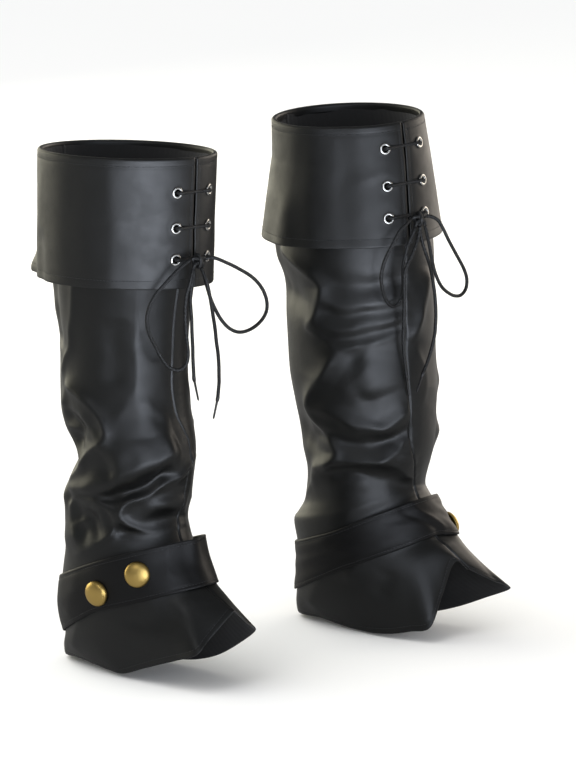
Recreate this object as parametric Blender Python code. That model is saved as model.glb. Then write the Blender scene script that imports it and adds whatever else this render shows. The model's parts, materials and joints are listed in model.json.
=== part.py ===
"""A pair of worn boot covers: laced turned-down cuffs, leg tubes, ankle straps.

Lengths in the tables are millimetres and angles are degrees.
Each boot is described by three directions: lateral (away from the other boot),
forward (from the back of the heel) and up (from the floor).
Angles go round the leg from straight ahead, positive towards the lateral side.
"""
import bpy
import bmesh
from math import cos, degrees, exp, floor, hypot, pi, radians, sin, sqrt
from mathutils import Vector

MM = 0.001

# ---------------------------------------------------------------- sizes
WALL = 1.5                # faux leather of the leg panels
SEAM_GAP = 0.34           # two panels, face to face at a seam
AXIS_FORWARD = 85.0       # leg axis, ahead of the back of the heel
ORIGIN_HEIGHT = 523.0     # origin above the floor, level with the cuff rims
CUFF_WALL = 1.6
CUFF_SLIT = 3.0           # between the laced edges
CUFF_LIP = 5.6            # width of the rolled rim
CUFF_ROUND = 3.1          # the rim's underside, below its top
CUFF_STEPS = 28           # sections round the cuff
CUFF_REACH = 85.0         # mean radius of the cuffs
LEG_REACH = 64.0          # mean radius of the leg tubes
STRAP_WALL = 2.2
STRAP_OFF = 0.65          # strap clear of the leg
STUD_RADIUS = 13.0
STUD_HEIGHT = 7.0
STUD_SIDES = 18
STUD_LIFT = 0.5           # stud's back clear of the strap
EYELET_RADIUS = 5.9
EYELET_BORE = 2.8
EYELET_BARREL = 3.5
EYELET_BACK = 0.7         # barrel's end, inside the cuff's inner face
EYELET_SIDES = 10
EYELET_ARC = 24.0         # from the slit to an eyelet's middle
HOLE_RADIUS = 3.9
HOLE_REACH = (-5.0, 4.0)  # the hole's cutter, from inside the cuff to outside it
CORD_RADIUS = 1.8
CORD_STEP = 10.8          # between points along a lace: three diameters
KNOT_HALF = (9.5, 8.0, 5.8)   # across, up, out
KNOT_END = 0.96           # the knot's ends, flattened to this share of its half width
KNOT_WAIST = 0.82         # the knot's middle, drawn in to this share
TIP_RADIUS = 1.1
TIP_TAPER = 0.8
TIP_SIDES = 8
TIP_GAP = 0.35            # from a lace's end to its tip

# stance: side, leg axis across and back from the origin, toes turned out
STANCE = {
    "r": dict(side=-1.0, across=-143.0, back=42.7, turn=-3.7),
    "l": dict(side=1.0, across=143.0, back=-42.7, turn=3.7),
}

# columns of a panel, round from the front seam (0) to the back seam (180)
COLUMNS = (0, 12, 24, 36, 50, 64, 78, 92, 107, 122, 137, 151, 166, 180)

# leg rings from the top edge down:
# front forward, up; side forward, up; half width lateral, medial; back forward, up;
# seam angle; how far the front lateral corner is pushed out
RINGS = {
    "r": (
        (171.7, 518.3, 85.0, 518.3, 81.5, 81.5, -1.7, 518.3, 0, 0),
        (166.6, 480, 84.0, 480, 77.6, 77.6, 1.4, 480, 0, 0),
        (159.5, 435, 81.5, 435, 73.3, 73.3, 3.5, 435, 0, 0),
        (151.9, 397, 78.5, 397, 69.0, 69.0, 5.1, 397, 0, 0),
        (146.3, 360, 77.0, 360, 65.1, 65.1, 7.7, 360, 1, 0),
        (144.0, 325, 78.5, 325, 61.5, 61.5, 13.0, 325, 1, 0),
        (144.1, 292, 79.0, 292, 61.2, 61.2, 13.9, 292, 2, 0),
        (146.7, 262, 81.0, 262, 61.7, 61.7, 15.3, 262, -2, 0),
        (152.6, 237, 88.0, 237, 60.8, 60.8, 23.4, 237, -14, 0),
        (154.1, 215, 91.5, 215, 58.8, 58.8, 28.9, 215, -15, 0),
        (151.1, 196, 88.0, 195, 59.3, 59.3, 24.9, 194, -13, 0),
        (147.6, 178, 83.0, 172, 60.8, 60.8, 18.4, 166, -10, 0),
        (144.0, 162, 83.0, 145, 58.0, 58.0, 18.5, 126, -6, 0),
        (145.3, 154, 83.3, 130, 57.8, 57.8, 14.5, 104, -4, 0),
        (150.0, 142, 84.0, 115, 58.0, 58.0, 10.5, 84, -2, 0),
        (166.0, 119, 87.0, 91, 59.0, 59.0, 6.5, 54, 0, 0),
        (188.0, 97, 91.0, 67, 56.0, 57.0, 12.0, 25, 0, 0),
    ),
    "l": (
        (135.0, 524.4, 59.5, 524.4, 70.5, 70.5, -16.0, 524.4, -14, 0),
        (139.5, 486, 62.9, 486, 72.2, 72.2, -13.7, 486, -16, 0),
        (144.4, 444, 65.9, 444, 73.7, 73.7, -12.6, 444, -18, 0),
        (149.9, 402, 69.5, 402, 75.6, 75.6, -10.9, 402, -20, 0),
        (151.8, 366, 73.1, 366, 73.9, 73.9, -5.6, 366, -22, 0),
        (153.3, 331, 75.5, 331, 73.1, 73.1, -2.3, 331, -23, 0),
        (153.9, 296, 77.0, 296, 72.3, 72.3, 0.1, 296, -23, 0),
        (155.3, 263, 79.0, 263, 71.7, 71.7, 2.7, 263, -22, 0),
        (155.8, 236, 82.0, 236, 69.4, 69.4, 8.2, 236, -21, 0),
        (155.4, 211, 84.2, 210, 67.0, 67.0, 13.0, 209, -21, 0),
        (153.9, 192, 85.4, 189, 64.4, 64.4, 16.9, 186, -18, 0),
        (150.1, 175, 86.0, 168, 60.6, 60.6, 21.9, 161, -12, 0),
        (145.0, 158, 86.5, 142, 58.5, 59.5, 17.0, 124, -6, 0),
        (144.9, 150, 86.2, 126, 58.1, 62.0, 4.0, 106, -4, 0),
        (147.0, 141, 86.0, 110, 58.0, 61.0, 8.0, 81, -2, 4),
        (160.0, 121, 87.0, 89, 59.0, 60.0, 8.5, 55, 0, 7),
        (168.0, 101, 90.0, 68, 57.0, 57.0, 5.5, 27, 0, 16),
    ),
}
CORNER_ANGLE = 30.0
STRAP_TOP = 14            # ring under the strap's upper edge
STRAP_FOOT = 16           # ring under its lower edge
TILT_FROM = 410.0         # the rim's tilt starts at this height
TILT_OVER = 90.0
QUIET_RINGS = 2.2         # the folds fade over these rings above the strap
FOLDS_END = 483.0         # and are gone above this height, under the cuff
FOLDS_FADE = 60.0

# the ring that the foot bends towards, from the strap's lower edge to the hem
FOOT_PULL = {
    "r": (206, 87, 97, 30, 58, 57, 6, 10, 0, 0),
    "l": (186, 91, 97, 30, 58, 57, 2, 11, 0, 10),
}

# foot hem: angle, lateral, forward, up; +-36 are the front corners, the notch is between
HEM = {
    "r": (
        (-180, 0, 5, 2), (-158, -20, 13, 4), (-136, -32, 44, 6), (-114, -37, 80, 4),
        (-92, -41, 112, 3), (-71, -43, 150, 10), (-54, -43, 183, 26), (-36, -37, 219, 51),
        (0, 0, 223, 79),
        (36, 45, 213, 41), (54, 47, 180, 28), (71, 46, 150, 18), (92, 42, 112, 4),
        (114, 38, 80, 5), (136, 32, 45, 7), (158, 20, 13, 4), (180, 0, 5, 2),
    ),
    "l": (
        (-180, 0, 5, 2), (-158, -20, 13, 4), (-136, -32, 50, 6), (-114, -37, 78, 3),
        (-92, -41, 104, 2), (-71, -44, 130, 3), (-54, -44, 157, 8), (-36, -40, 186, 17),
        (-12, 0, 190, 77), (0, 12.5, 199, 69),
        (36, 50, 227, 45), (54, 50, 188, 27), (71, 47, 152, 13), (92, 43, 112, 4),
        (114, 38, 80, 4), (136, 32, 45, 6), (158, 20, 13, 4), (180, 0, 5, 2),
    ),
}

# folds of the leg: height out (or in), half width, route of (angle, up)
FOLDS = {
    "r": (
        (7.0, 12.0, ((142, 174), (110, 188), (80, 201), (43, 217), (8, 226))),
        (-6.5, 9.0, ((122, 182), (80, 190), (51, 199), (15, 208))),
        (7.0, 17.0, ((36, 178), (16, 180), (-8, 181))),
        (-4.0, 8.0, ((62, 190), (60, 172), (46, 153), (20, 146))),
        (-7.0, 17.0, ((150, 222), (132, 216))),
        (4.5, 10.0, ((130, 276), (104, 268), (82, 256))),
        (3.5, 10.0, ((82, 256), (100, 236), (116, 218))),
        (4.0, 13.0, ((138, 128), (108, 138), (82, 145))),
        (2.5, 16.0, ((40, 395), (37, 340), (36, 292))),
        (6.0, 13.0, ((-52, 212), (-95, 200), (-142, 178))),
        (-5.0, 10.0, ((-60, 192), (-100, 180), (-140, 160))),
        (3.5, 12.0, ((-92, 270), (-132, 246))),
    ),
    "l": (
        (3.5, 11.0, ((-108, 400), (-95, 358), (-128, 304))),
        (4.0, 15.0, ((-150, 396), (-150, 384))),
        (-6.0, 19.0, ((-132, 352), (-122, 350))),
        (3.5, 11.0, ((-84, 300), (-110, 250), (-90, 192), (-130, 158))),
        (-6.5, 18.0, ((-128, 206), (-120, 202))),
        (-2.5, 10.0, ((-88, 352), (-62, 351), (-34, 347))),
        (2.5, 10.0, ((-94, 330), (-62, 333), (-32, 330))),
        (-2.5, 9.0, ((-88, 312), (-62, 316), (-40, 312))),
        (4.0, 22.0, ((-72, 280), (-46, 276))),
        (-5.5, 10.0, ((-98, 236), (-72, 244), (-36, 238))),
        (3.5, 9.0, ((-100, 218), (-74, 226), (-38, 222))),
        (-4.0, 8.0, ((-100, 198), (-74, 204), (-34, 200))),
        (4.5, 10.0, ((-118, 177), (-80, 187), (-36, 184))),
        (3.5, 8.0, ((6, 380), (-4, 345), (-14, 306))),
        (5.0, 13.0, ((30, 250), (75, 262), (120, 280))),
        (-4.5, 11.0, ((40, 224), (85, 236), (130, 254))),
        (5.0, 12.0, ((25, 205), (80, 196), (135, 180))),
    ),
}

# cuffs: up, half width seen across, shift of the middle; then tilt of the rim
CUFFS = {
    "r": dict(rim=522.0, hem=393.0, tilt=4.0, tilt_at=75.0, slit=((522, 0), (393, 0)),
              rows=((522, 175.8, 85.0, 85.4), (455, 172.5, 82.6, 84.5), (393, 170.6, 81.0, 84.2)),
              wave=((9.0, 14.0, ((167, 380), (167, 396))),
                    (8.5, 15.0, ((167, 396), (167, 420))),
                    (-2.5, 12.0, ((122, 385), (124, 430))))),
    "l": dict(rim=528.0, hem=407.0, tilt=4.0, tilt_at=60.0, slit=((528, -14), (407, -20)),
              rows=((528, 138.0, 59.0, 74.2), (490, 145.4, 63.4, 77.1),
                    (454, 151.3, 63.8, 82.3), (407, 158.9, 64.7, 88.5)),
              wave=((3.0, 14.0, ((-110, 400), (-108, 440))),
                    (4.0, 14.0, ((140, 400), (140, 440))))),
}
EYELETS_BELOW_RIM = {"r": (34.0, 69.0, 100.0), "l": (24.0, 61.0, 93.0)}
# the cuff's wall, from hem to rim, and its rolled rim: below the top, inward
CUFF_PARTS = (1.0, 0.84, 0.66, 0.46, 0.24, 0.04)
CUFF_RIM = (
    (1.4, 0.7), (0.0, 2.6), (0.4, CUFF_LIP - 1.0), (1.6, CUFF_LIP), (CUFF_ROUND, CUFF_LIP),
    (CUFF_ROUND, CUFF_LIP - CUFF_WALL), (2.2, CUFF_WALL + 1.6),
)
# the bow's knot: its height, turn from the slit, and middle out from the cuff
KNOTS = {"r": dict(up=421.0, turn=3.0, out=9.7), "l": dict(up=432.0, turn=3.4, out=9.1)}

# a lace crossing between two eyelets: along from the eyelet's middle, out from the cuff
BAR = ((0.0, -1.9), (0.1, 0.9), (1.3, 2.9), (3.4, 3.8), (7.5, 3.7), (15.0, 2.9),
       (24.0, 2.5))

# where laces leave the knot, and where loops come back to it, from its middle: across, up, out
KNOT_EXITS = {
    "loop_out_r": ((10.4, 1.6, 0.0), (6.4, -7.8, 0.6)),
    "loop_in_r": ((-10.0, 1.6, 0.0), (-6.4, -7.6, 0.6)),
    "end_in_r": ((-2.4, -6.5, 2.8),),
    "end_out_r": ((2.4, -7.0, -2.8),),
    "loop_in_l": ((-10.4, 1.6, 0.0), (-6.6, -7.9, 0.6)),
    "loop_out_l": ((10.4, 1.6, 0.0), (6.4, -7.8, 0.6)),
    "end_out_l": ((2.4, -7.0, -2.8),),
    "end_in_l": ((-2.4, -7.0, 3.0),),
}

# routes of the free laces between those places: lateral, forward, up
LACES = {
    "loop_out_r": (
        (24, 179, 420), (33, 175, 412), (42, 170, 402), (48, 165, 393),
        (52, 161, 383), (53.5, 158, 370), (50, 157, 355), (41, 157.5, 340), (34, 159, 328),
        (26, 162, 317.5), (17, 166.5, 314), (11, 170.5, 319), (10, 172.5, 329),
        (13, 174, 342), (16, 175, 356), (18, 176, 371), (18.5, 178, 388), (16, 181, 403)),
    "loop_in_r": (
        (-13, 185, 423.5), (-24, 188, 419), (-39, 193, 411), (-56, 198, 400),
        (-67, 201, 388), (-72, 203, 375), (-70, 204, 364), (-62, 203, 355), (-49, 201, 349),
        (-36, 198, 348), (-26, 194, 353), (-19, 190, 362), (-13.5, 187, 373), (-9, 185, 384),
        (-5, 184, 396), (-2.6, 183.5, 405)),
    "end_in_r": (
        (2.6, 189, 406), (1, 190, 399), (-1.5, 190.5, 389), (-5, 190, 377),
        (-9, 188.5, 366), (-14, 186.5, 353), (-18, 184.5, 340), (-22, 183, 328),
        (-25, 181.5, 316), (-27, 180, 303), (-27.8, 179.4, 297), (-27.5, 179, 291),
        (-27.3, 178.5, 285), (-27, 178, 280)),
    "end_out_r": (
        (8.4, 178.6, 405), (10.3, 178.2, 401), (11.5, 178, 397), (12.5, 178, 388), (12, 177.5, 382),
        (11, 177, 377), (9.7, 176.5, 370), (8.6, 176, 364), (7, 175, 351), (5, 174, 338),
        (4.2, 173.5, 332), (3.6, 173, 326), (2.2, 172.4, 315), (1, 172, 304)),
    "loop_in_l": (
        (-44, 157.5, 430.5), (-53.5, 155, 424), (-59.5, 153, 415), (-65, 150, 405), (-69.5, 147, 394),
        (-71.5, 145, 381), (-68.5, 144, 368.5), (-63, 144, 357), (-56.5, 145.5, 349),
        (-50, 147.5, 346.5), (-44.5, 149.5, 350), (-41.5, 151, 356.5), (-40.8, 151.8, 364),
        (-42, 152.5, 376), (-43, 153.3, 389), (-41.5, 155.3, 401), (-38, 157.4, 412)),
    "loop_out_l": (
        (-10.5, 166.5, 434), (-6, 171.5, 430), (-2.5, 175.5, 421),
        (3, 178, 410), (10, 180, 399), (19, 181.5, 387), (27, 182.5, 376), (31.5, 183, 365.5),
        (30, 182.8, 356), (22, 182, 350.5), (12, 180.5, 351), (2, 179, 355.5), (-7, 177.5, 362),
        (-13.5, 176, 371), (-17.5, 174, 382), (-18.8, 171.5, 395), (-18.6, 168.5, 408)),
    "end_out_l": (
        (-21, 160.5, 416), (-19.5, 162.5, 405), (-16.5, 164.5, 395), (-12.5, 166, 384),
        (-8.5, 166.5, 371), (-5, 167, 356), (-3.5, 167.5, 342), (-3, 167.5, 335), (-3, 167.5, 327),
        (-3.3, 167.2, 320), (-4, 167, 313), (-8, 166, 299), (-14, 164.5, 285), (-20.5, 163, 274)),
    "end_in_l": (
        (-30.5, 163.5, 417), (-35.5, 163, 407), (-41, 161.5, 397), (-46, 159.6, 388.5),
        (-48, 158, 380), (-46, 156.5, 365), (-43.5, 155, 349), (-42.5, 154.2, 340), (-42, 153.5, 331),
        (-41.4, 153, 322), (-41, 152.5, 313), (-39, 152, 298), (-36, 152, 284), (-33.5, 152, 271)),
}
TIPS = {
    "end_in_r": (-22.6, 176.4, 260.5),
    "end_out_r": (-5.5, 172.0, 281.0),
    "end_out_l": (-30.5, 162.0, 257.0),
    "end_in_l": (-29.5, 152.0, 251.0),
}

# strap: how far its upper front edge stands clear of the leg
STRAP_PROUD = {"r": 22.0, "l": 7.0}
PROUD_ARC = 95.0          # to each side of the front, where it lies close again
PROUD_FADE = 1.3          # power of the fade round the leg
PROUD_FALL = 1.1          # power of the fade down the strap
PROUD_LEAN = 0.4          # share of the spring that goes sideways
# studs: angle, and share of the way down the strap
STUDS = {
    "r": (("front", 51.0, 0.46), ("back", 84.0, 0.62)),
    "l": (("front", 40.0, 0.72), ("back", 76.0, 0.62)),
}

PAINT = {
    "cloth": ((0.012, 0.012, 0.013, 1.0), 0.36, 0.0),
    "strap": ((0.011, 0.011, 0.012, 1.0), 0.40, 0.0),
    "gold": ((0.83, 0.60, 0.20, 1.0), 0.22, 1.0),
    "nickel": ((0.72, 0.71, 0.66, 1.0), 0.25, 1.0),
    "lace": ((0.014, 0.014, 0.014, 1.0), 0.75, 0.0),
}


# ---------------------------------------------------------------- helpers
def clamp(value, low=0.0, high=1.0):
    return max(low, min(high, value))


def smooth(value):
    value = clamp(value)
    return value * value * (3.0 - 2.0 * value)


def spline(rows, place):
    """A smooth curve through rows of numbers, read at a place counted in rows."""
    last = len(rows) - 1
    place = clamp(place, 0.0, last)
    index = min(int(floor(place)), last - 1)
    part = place - index
    before = rows[max(index - 1, 0)]
    start = rows[index]
    end = rows[index + 1]
    after = rows[min(index + 2, last)]
    found = []
    for p0, p1, p2, p3 in zip(before, start, end, after):
        slope = 0.5 * (p2 - p0)
        leave = 0.5 * (p3 - p1)
        h1 = 2 * part ** 3 - 3 * part ** 2 + 1
        h2 = part ** 3 - 2 * part ** 2 + part
        h3 = part ** 3 - part ** 2
        found.append(h1 * p1 + h2 * slope + (1 - h1) * p2 + h3 * leave)
    return found


def between(table, value):
    """Straight-line reading of a table whose first column rises or falls."""
    rows = sorted(table)
    if value <= rows[0][0]:
        return rows[0][1:]
    for low, high in zip(rows, rows[1:]):
        if value <= high[0]:
            part = (value - low[0]) / (high[0] - low[0])
            return tuple(a + (b - a) * part for a, b in zip(low[1:], high[1:]))
    return rows[-1][1:]


def fold_height(folds, angle, up, reach=LEG_REACH):
    """Sum of all folds at one place of the unrolled cloth."""
    total = 0.0
    per_degree = reach * pi / 180.0
    for height, half, route in folds:
        best = 1e9
        for (a0, u0), (a1, u1) in zip(route, route[1:]):
            dx = (a1 - a0) * per_degree
            dy = u1 - u0
            px = (angle - a0) * per_degree
            py = up - u0
            part = clamp((px * dx + py * dy) / max(dx * dx + dy * dy, 1e-9))
            best = min(best, hypot(px - part * dx, py - part * dy))
        total += height * exp(-(best / half) ** 2)
    return total


def ring_point(row, angle):
    """A point of one leg ring: an oval with its own front, side, back and front corner."""
    ff, fz, sf, sz, wl, wm, bf, bz, seam, corner = row
    c = cos(radians(angle))
    s = sin(radians(angle))
    lateral = (wl if s >= 0 else wm) * s
    if c < 0:
        return Vector((lateral, sf + (sf - bf) * c, sz + (sz - bz) * c))
    away = clamp(abs(angle - CORNER_ANGLE) / CORNER_ANGLE)
    push = corner * cos(0.5 * pi * away) ** 2
    return Vector((lateral + push * s, sf + (ff - sf) * c + push * c, sz + (fz - sz) * c))


def rim_tilt(boot, angle):
    cuff = CUFFS[boot]
    return cuff["tilt"] * cos(radians(angle - cuff["tilt_at"]))


def hem_point(boot, angle):
    """The foot's hem: straight from the notch to each corner, a curve behind."""
    rows = HEM[boot]
    angle = clamp(angle, -180.0, 180.0)
    if abs(angle) <= 36.0:
        return Vector(between(rows, angle))
    keys = [row for row in rows if (row[0] >= 36 if angle > 0 else row[0] <= -36)]
    for index, (low, high) in enumerate(zip(keys, keys[1:])):
        if angle <= high[0]:
            part = (angle - low[0]) / (high[0] - low[0])
            return Vector(spline([row[1:] for row in keys], index + part))
    return Vector(keys[-1][1:])


def leg_base(boot, angle, place):
    """Unfolded leg surface; place counts the rings, one more reaches the hem."""
    rings = RINGS[boot]
    last = len(rings) - 1
    if place <= last:
        point = ring_point(spline(rings, place), angle)
        point.z += rim_tilt(boot, angle) * smooth((point.z - TILT_FROM) / TILT_OVER)
        return point
    part = place - last
    upper = ring_point(rings[last], angle)
    pull = ring_point(FOOT_PULL[boot], angle)
    hem = hem_point(boot, angle)
    return upper * (1 - part) ** 2 + pull * (2 * part * (1 - part)) + hem * part ** 2


def leg_normal(boot, angle, place):
    end = float(len(RINGS[boot]))
    a0, a1 = angle - 1.5, angle + 1.5
    if abs(angle) > 178.0:
        a0, a1 = (angle - 3.0, angle) if angle > 0 else (angle, angle + 3.0)
    p0, p1 = max(place - 0.05, 0.0), min(place + 0.05, end)
    across = leg_base(boot, a1, place) - leg_base(boot, a0, place)
    down = leg_base(boot, angle, p1) - leg_base(boot, angle, p0)
    if abs(angle) > 178.0:
        across = Vector((1.0 if angle < 0 else -1.0, 0.0, 0.0))
        across = -across if angle < 0 else across
    normal = across.cross(down)
    normal.normalize()
    middle = Vector((0.0, leg_base(boot, 90.0, place).y, 0.0))
    out = leg_base(boot, angle, place) - middle
    out.z = 0.0
    return normal if normal.dot(out) > 0 else -normal


def leg_point(boot, angle, place, inward=0.0):
    """The folded leg surface, or a point inside it by a wall."""
    base = leg_base(boot, angle, place)
    normal = leg_normal(boot, angle, place)
    quiet = 1.0 - smooth((place - (STRAP_TOP - QUIET_RINGS)) / QUIET_RINGS)
    top = smooth((FOLDS_END - base.z) / FOLDS_FADE)
    height = fold_height(FOLDS[boot], angle, base.z) * quiet * top
    return base + normal * (height - inward)


def seam_angle(boot, place):
    rings = RINGS[boot]
    return spline(rings, min(place, len(rings) - 1))[8]


def column_angle(boot, column, side, place):
    """Angle of a column, drawn towards the seam's own angle at the front."""
    seam = seam_angle(boot, place)
    share = 1.0 - column / 180.0
    return side * column + seam * share


def cuff_row(boot, up):
    front, middle, half = between(CUFFS[boot]["rows"], up)
    return front - middle, middle, half


def slit_angle(boot, up):
    return between(CUFFS[boot]["slit"], up)[0]


def cuff_point(boot, angle, up, out=0.0):
    """A point out from (or in from) the cuff's outer face."""
    long, middle, half = cuff_row(boot, up)
    turned = angle if angle <= 180 else angle - 360
    turned = turned if turned >= -180 else turned + 360
    wave = fold_height(CUFFS[boot]["wave"], turned, up, CUFF_REACH)
    c = cos(radians(angle))
    s = sin(radians(angle))
    normal = Vector((s / half, c / long, 0.0)).normalized()
    base = Vector((half * s, middle + long * c, up + rim_tilt(boot, angle)))
    return base + normal * (out + wave)


def cuff_frame(boot, angle, up, out=0.0):
    """Place, across, up and outward directions on the cuff."""
    here = cuff_point(boot, angle, up, out)
    across = (cuff_point(boot, angle + 1, up, out) - cuff_point(boot, angle - 1, up, out)).normalized()
    rise = (cuff_point(boot, angle, up + 2, out) - cuff_point(boot, angle, up - 2, out)).normalized()
    outward = rise.cross(across)
    outward.normalize()
    if outward.dot(Vector((sin(radians(angle)), cos(radians(angle)), 0.0))) < 0:
        outward = -outward
    return here, across, rise, outward


# ---------------------------------------------------------------- objects
def paint(name):
    colour, rough, metal = PAINT[name]
    material = bpy.data.materials.get(name)
    if material is None:
        material = bpy.data.materials.new(name)
        material.use_nodes = True
        shader = material.node_tree.nodes["Principled BSDF"]
        shader.inputs["Base Color"].default_value = colour
        shader.inputs["Roughness"].default_value = rough
        shader.inputs["Metallic"].default_value = metal
        material.diffuse_color = colour
    return material


def own_paint(node, name):
    """Each node has a material of its own."""
    material = paint(name).copy()
    material.name = node + "_" + name
    return material


def to_object(boot, point):
    side = STANCE[boot]["side"]
    return Vector((side * point[0], -(point[1] - AXIS_FORWARD), point[2] - ORIGIN_HEIGHT)) * MM


def stand(obj, boot):
    stance = STANCE[boot]
    obj.location = (stance["across"] * MM, stance["back"] * MM, 0.0)
    obj.rotation_euler = (0.0, 0.0, radians(stance["turn"]))


def make_mesh(name, boot, points, faces, colour):
    mesh = bpy.data.meshes.new(name)
    mesh.from_pydata([to_object(boot, point) for point in points], [], faces)
    shape = bmesh.new()
    shape.from_mesh(mesh)
    bmesh.ops.recalc_face_normals(shape, faces=shape.faces)
    shape.to_mesh(mesh)
    shape.free()
    for face in mesh.polygons:
        face.use_smooth = True
    mesh.materials.append(own_paint(name, colour))
    obj = bpy.data.objects.new(name, mesh)
    bpy.context.scene.collection.objects.link(obj)
    stand(obj, boot)
    return obj


def closed_sheet(outer, inner):
    """A wall from two grids of the same size: outer face, inner face and edges."""
    rows = len(outer)
    columns = len(outer[0])
    points = [p for row in outer for p in row] + [p for row in inner for p in row]
    shift = rows * columns
    faces = []
    for r in range(rows - 1):
        for c in range(columns - 1):
            a = r * columns + c
            quad = (a, a + 1, a + columns + 1, a + columns)
            faces.append(quad)
            faces.append(tuple(shift + v for v in reversed(quad)))
    for r in range(rows - 1):
        for c in (0, columns - 1):
            a = r * columns + c
            faces.append((a, a + columns, shift + a + columns, shift + a))
    for c in range(columns - 1):
        for r in (0, rows - 1):
            a = r * columns + c
            faces.append((a, a + 1, shift + a + 1, shift + a))
    return points, faces


def closed_hoop(loops):
    """A ring-shaped solid from closed sections set one after another."""
    count = len(loops)
    size = len(loops[0])
    points = [p for loop in loops for p in loop]
    faces = []
    for i in range(count):
        j = (i + 1) % count
        for k in range(size):
            m = (k + 1) % size
            faces.append((i * size + k, j * size + k, j * size + m, i * size + m))
    return points, faces


def open_hoop(loops):
    """A bar-shaped solid: closed sections in a row, with one face at each end."""
    count = len(loops)
    size = len(loops[0])
    points = [p for loop in loops for p in loop]
    faces = []
    for i in range(count - 1):
        j = i + 1
        for k in range(size):
            m = (k + 1) % size
            faces.append((i * size + k, j * size + k, j * size + m, i * size + m))
    for base in (0, (count - 1) * size):
        faces.append(tuple(range(base, base + size)))
    return points, faces


def lathe(profile, segments, frame, solid):
    """A turned piece on a frame of place, across, up, outward; profile of (radius, out)."""
    here, across, rise, outward = frame
    points = []
    faces = []
    size = len(profile)
    for i in range(segments):
        turn = 2 * pi * i / segments
        arm = across * cos(turn) + rise * sin(turn)
        for radius, out in profile:
            points.append(here + arm * radius + outward * out)
    wrap = size if not solid else size - 1
    for i in range(segments):
        j = (i + 1) % segments
        for k in range(wrap):
            m = (k + 1) % size
            faces.append((i * size + k, j * size + k, j * size + m, i * size + m))
    if solid:
        faces.append(tuple(i * size for i in range(segments)))
        faces.append(tuple(i * size + size - 1 for i in range(segments)))
    return points, faces


def leg_places():
    """Rows of the leg grid: closer together from the calf folds to the foot."""
    places = [0.0, 1.0, 2.0, 3.0, 3.8, 4.4, 4.9, 5.4, 6.0, 6.5, 7.0, 7.5, 8.0, 8.5]
    places += [9.0, 9.5, 10.0, 10.45, 10.9, 11.4, 11.9, 12.5, 13.1, 14.0, 14.5, 15.0]
    places += [15.5, 16.0, 16.35, 16.7, 17.0]
    return places


def seam_edge(boot, side, back, place):
    """Outer and inner point of a panel's edge, half a gap from the seam line."""
    end = float(len(RINGS[boot]))

    def line(where):
        return leg_point(boot, 180.0 if back else seam_angle(boot, where), where)

    angle = 180.0 if back else seam_angle(boot, place)
    normal = leg_normal(boot, angle, place)
    run = line(min(place + 0.1, end)) - line(max(place - 0.1, 0.0))
    across = run.cross(normal).normalized()
    if across.x * side < 0:
        across = -across
    outer = line(place) + across * (0.5 * SEAM_GAP)
    return outer, outer - normal * WALL


def make_leg(boot, side, name):
    """Half of the leg and foot, from the front seam to the back seam."""
    outer = []
    inner = []
    for place in leg_places():
        points = [seam_edge(boot, side, False, place)]
        for column in COLUMNS[1:-1]:
            angle = column_angle(boot, column, side, place)
            points.append((leg_point(boot, angle, place), leg_point(boot, angle, place, WALL)))
        points.append(seam_edge(boot, side, True, place))
        outer.append([pair[0] for pair in points])
        inner.append([pair[1] for pair in points])
    points, faces = closed_sheet(outer, inner)
    return make_mesh(name, boot, points, faces, "cloth")


def cuff_section(boot, angle, turn):
    """The cuff's cut face at one angle: outer wall, rolled rim, inner wall."""
    cuff = CUFFS[boot]
    rim = cuff["rim"]
    hem = cuff["hem"]
    heights = [rim - (rim - hem - 1.0) * part for part in CUFF_PARTS]
    section = []

    def add(up, out):
        shift = slit_angle(boot, up)
        section.append(cuff_point(boot, turn(shift), up, out))

    add(hem, -0.4)
    for up in heights:
        add(up, 0.0)
    for drop, inward in CUFF_RIM:
        add(rim - drop, -inward)
    for up in reversed(heights[1:]):
        add(up, -CUFF_WALL)
    add(hem, -CUFF_WALL)
    return section


def make_cuff(boot, name):
    """The turned-down cuff, open at the laced slit."""
    loops = []
    edge = degrees(0.5 * CUFF_SLIT / CUFF_REACH)
    for i in range(CUFF_STEPS + 1):
        part = i / CUFF_STEPS
        loops.append(cuff_section(boot, part, lambda shift, p=part: shift + edge + (360 - 2 * edge) * p))
    points, faces = open_hoop(loops)
    return make_mesh(name, boot, points, faces, "cloth")


def cut_holes(cuff, boot):
    """Round holes for the six eyelets."""
    cutters = []
    for side in (-1, 1):
        for drop in EYELETS_BELOW_RIM[boot]:
            profile = [(HOLE_RADIUS, out) for out in HOLE_REACH]
            points, faces = lathe(profile, EYELET_SIDES, eyelet_frame(boot, side, drop), True)
            cutters.append(make_mesh("hole", boot, points, faces, "cloth"))
    bpy.context.view_layer.update()
    for cutter in cutters:
        cut = cuff.modifiers.new("cut", "BOOLEAN")
        cut.operation = "DIFFERENCE"
        cut.solver = "EXACT"
        cut.object = cutter
        bpy.context.view_layer.objects.active = cuff
        with bpy.context.temp_override(object=cuff, active_object=cuff):
            bpy.ops.object.modifier_apply(modifier=cut.name)
    for cutter in cutters:
        bpy.data.objects.remove(cutter, do_unlink=True)


def eyelet_frame(boot, side, drop):
    up = CUFFS[boot]["rim"] - drop
    long, middle, half = cuff_row(boot, up)
    angle = slit_angle(boot, up) + side * degrees(EYELET_ARC / (0.5 * (long + half)))
    return cuff_frame(boot, angle, up)


def make_eyelet(boot, side, drop, name):
    profile = [
        (EYELET_BORE, -CUFF_WALL - EYELET_BACK), (EYELET_BARREL, -CUFF_WALL - EYELET_BACK),
        (EYELET_BARREL, 0.5), (EYELET_RADIUS, 0.5),
        (EYELET_RADIUS - 1.0, 1.4), (EYELET_BORE, 1.1),
    ]
    points, faces = lathe(profile, EYELET_SIDES, eyelet_frame(boot, side, drop), False)
    return make_mesh(name, boot, points, faces, "nickel")


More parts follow.
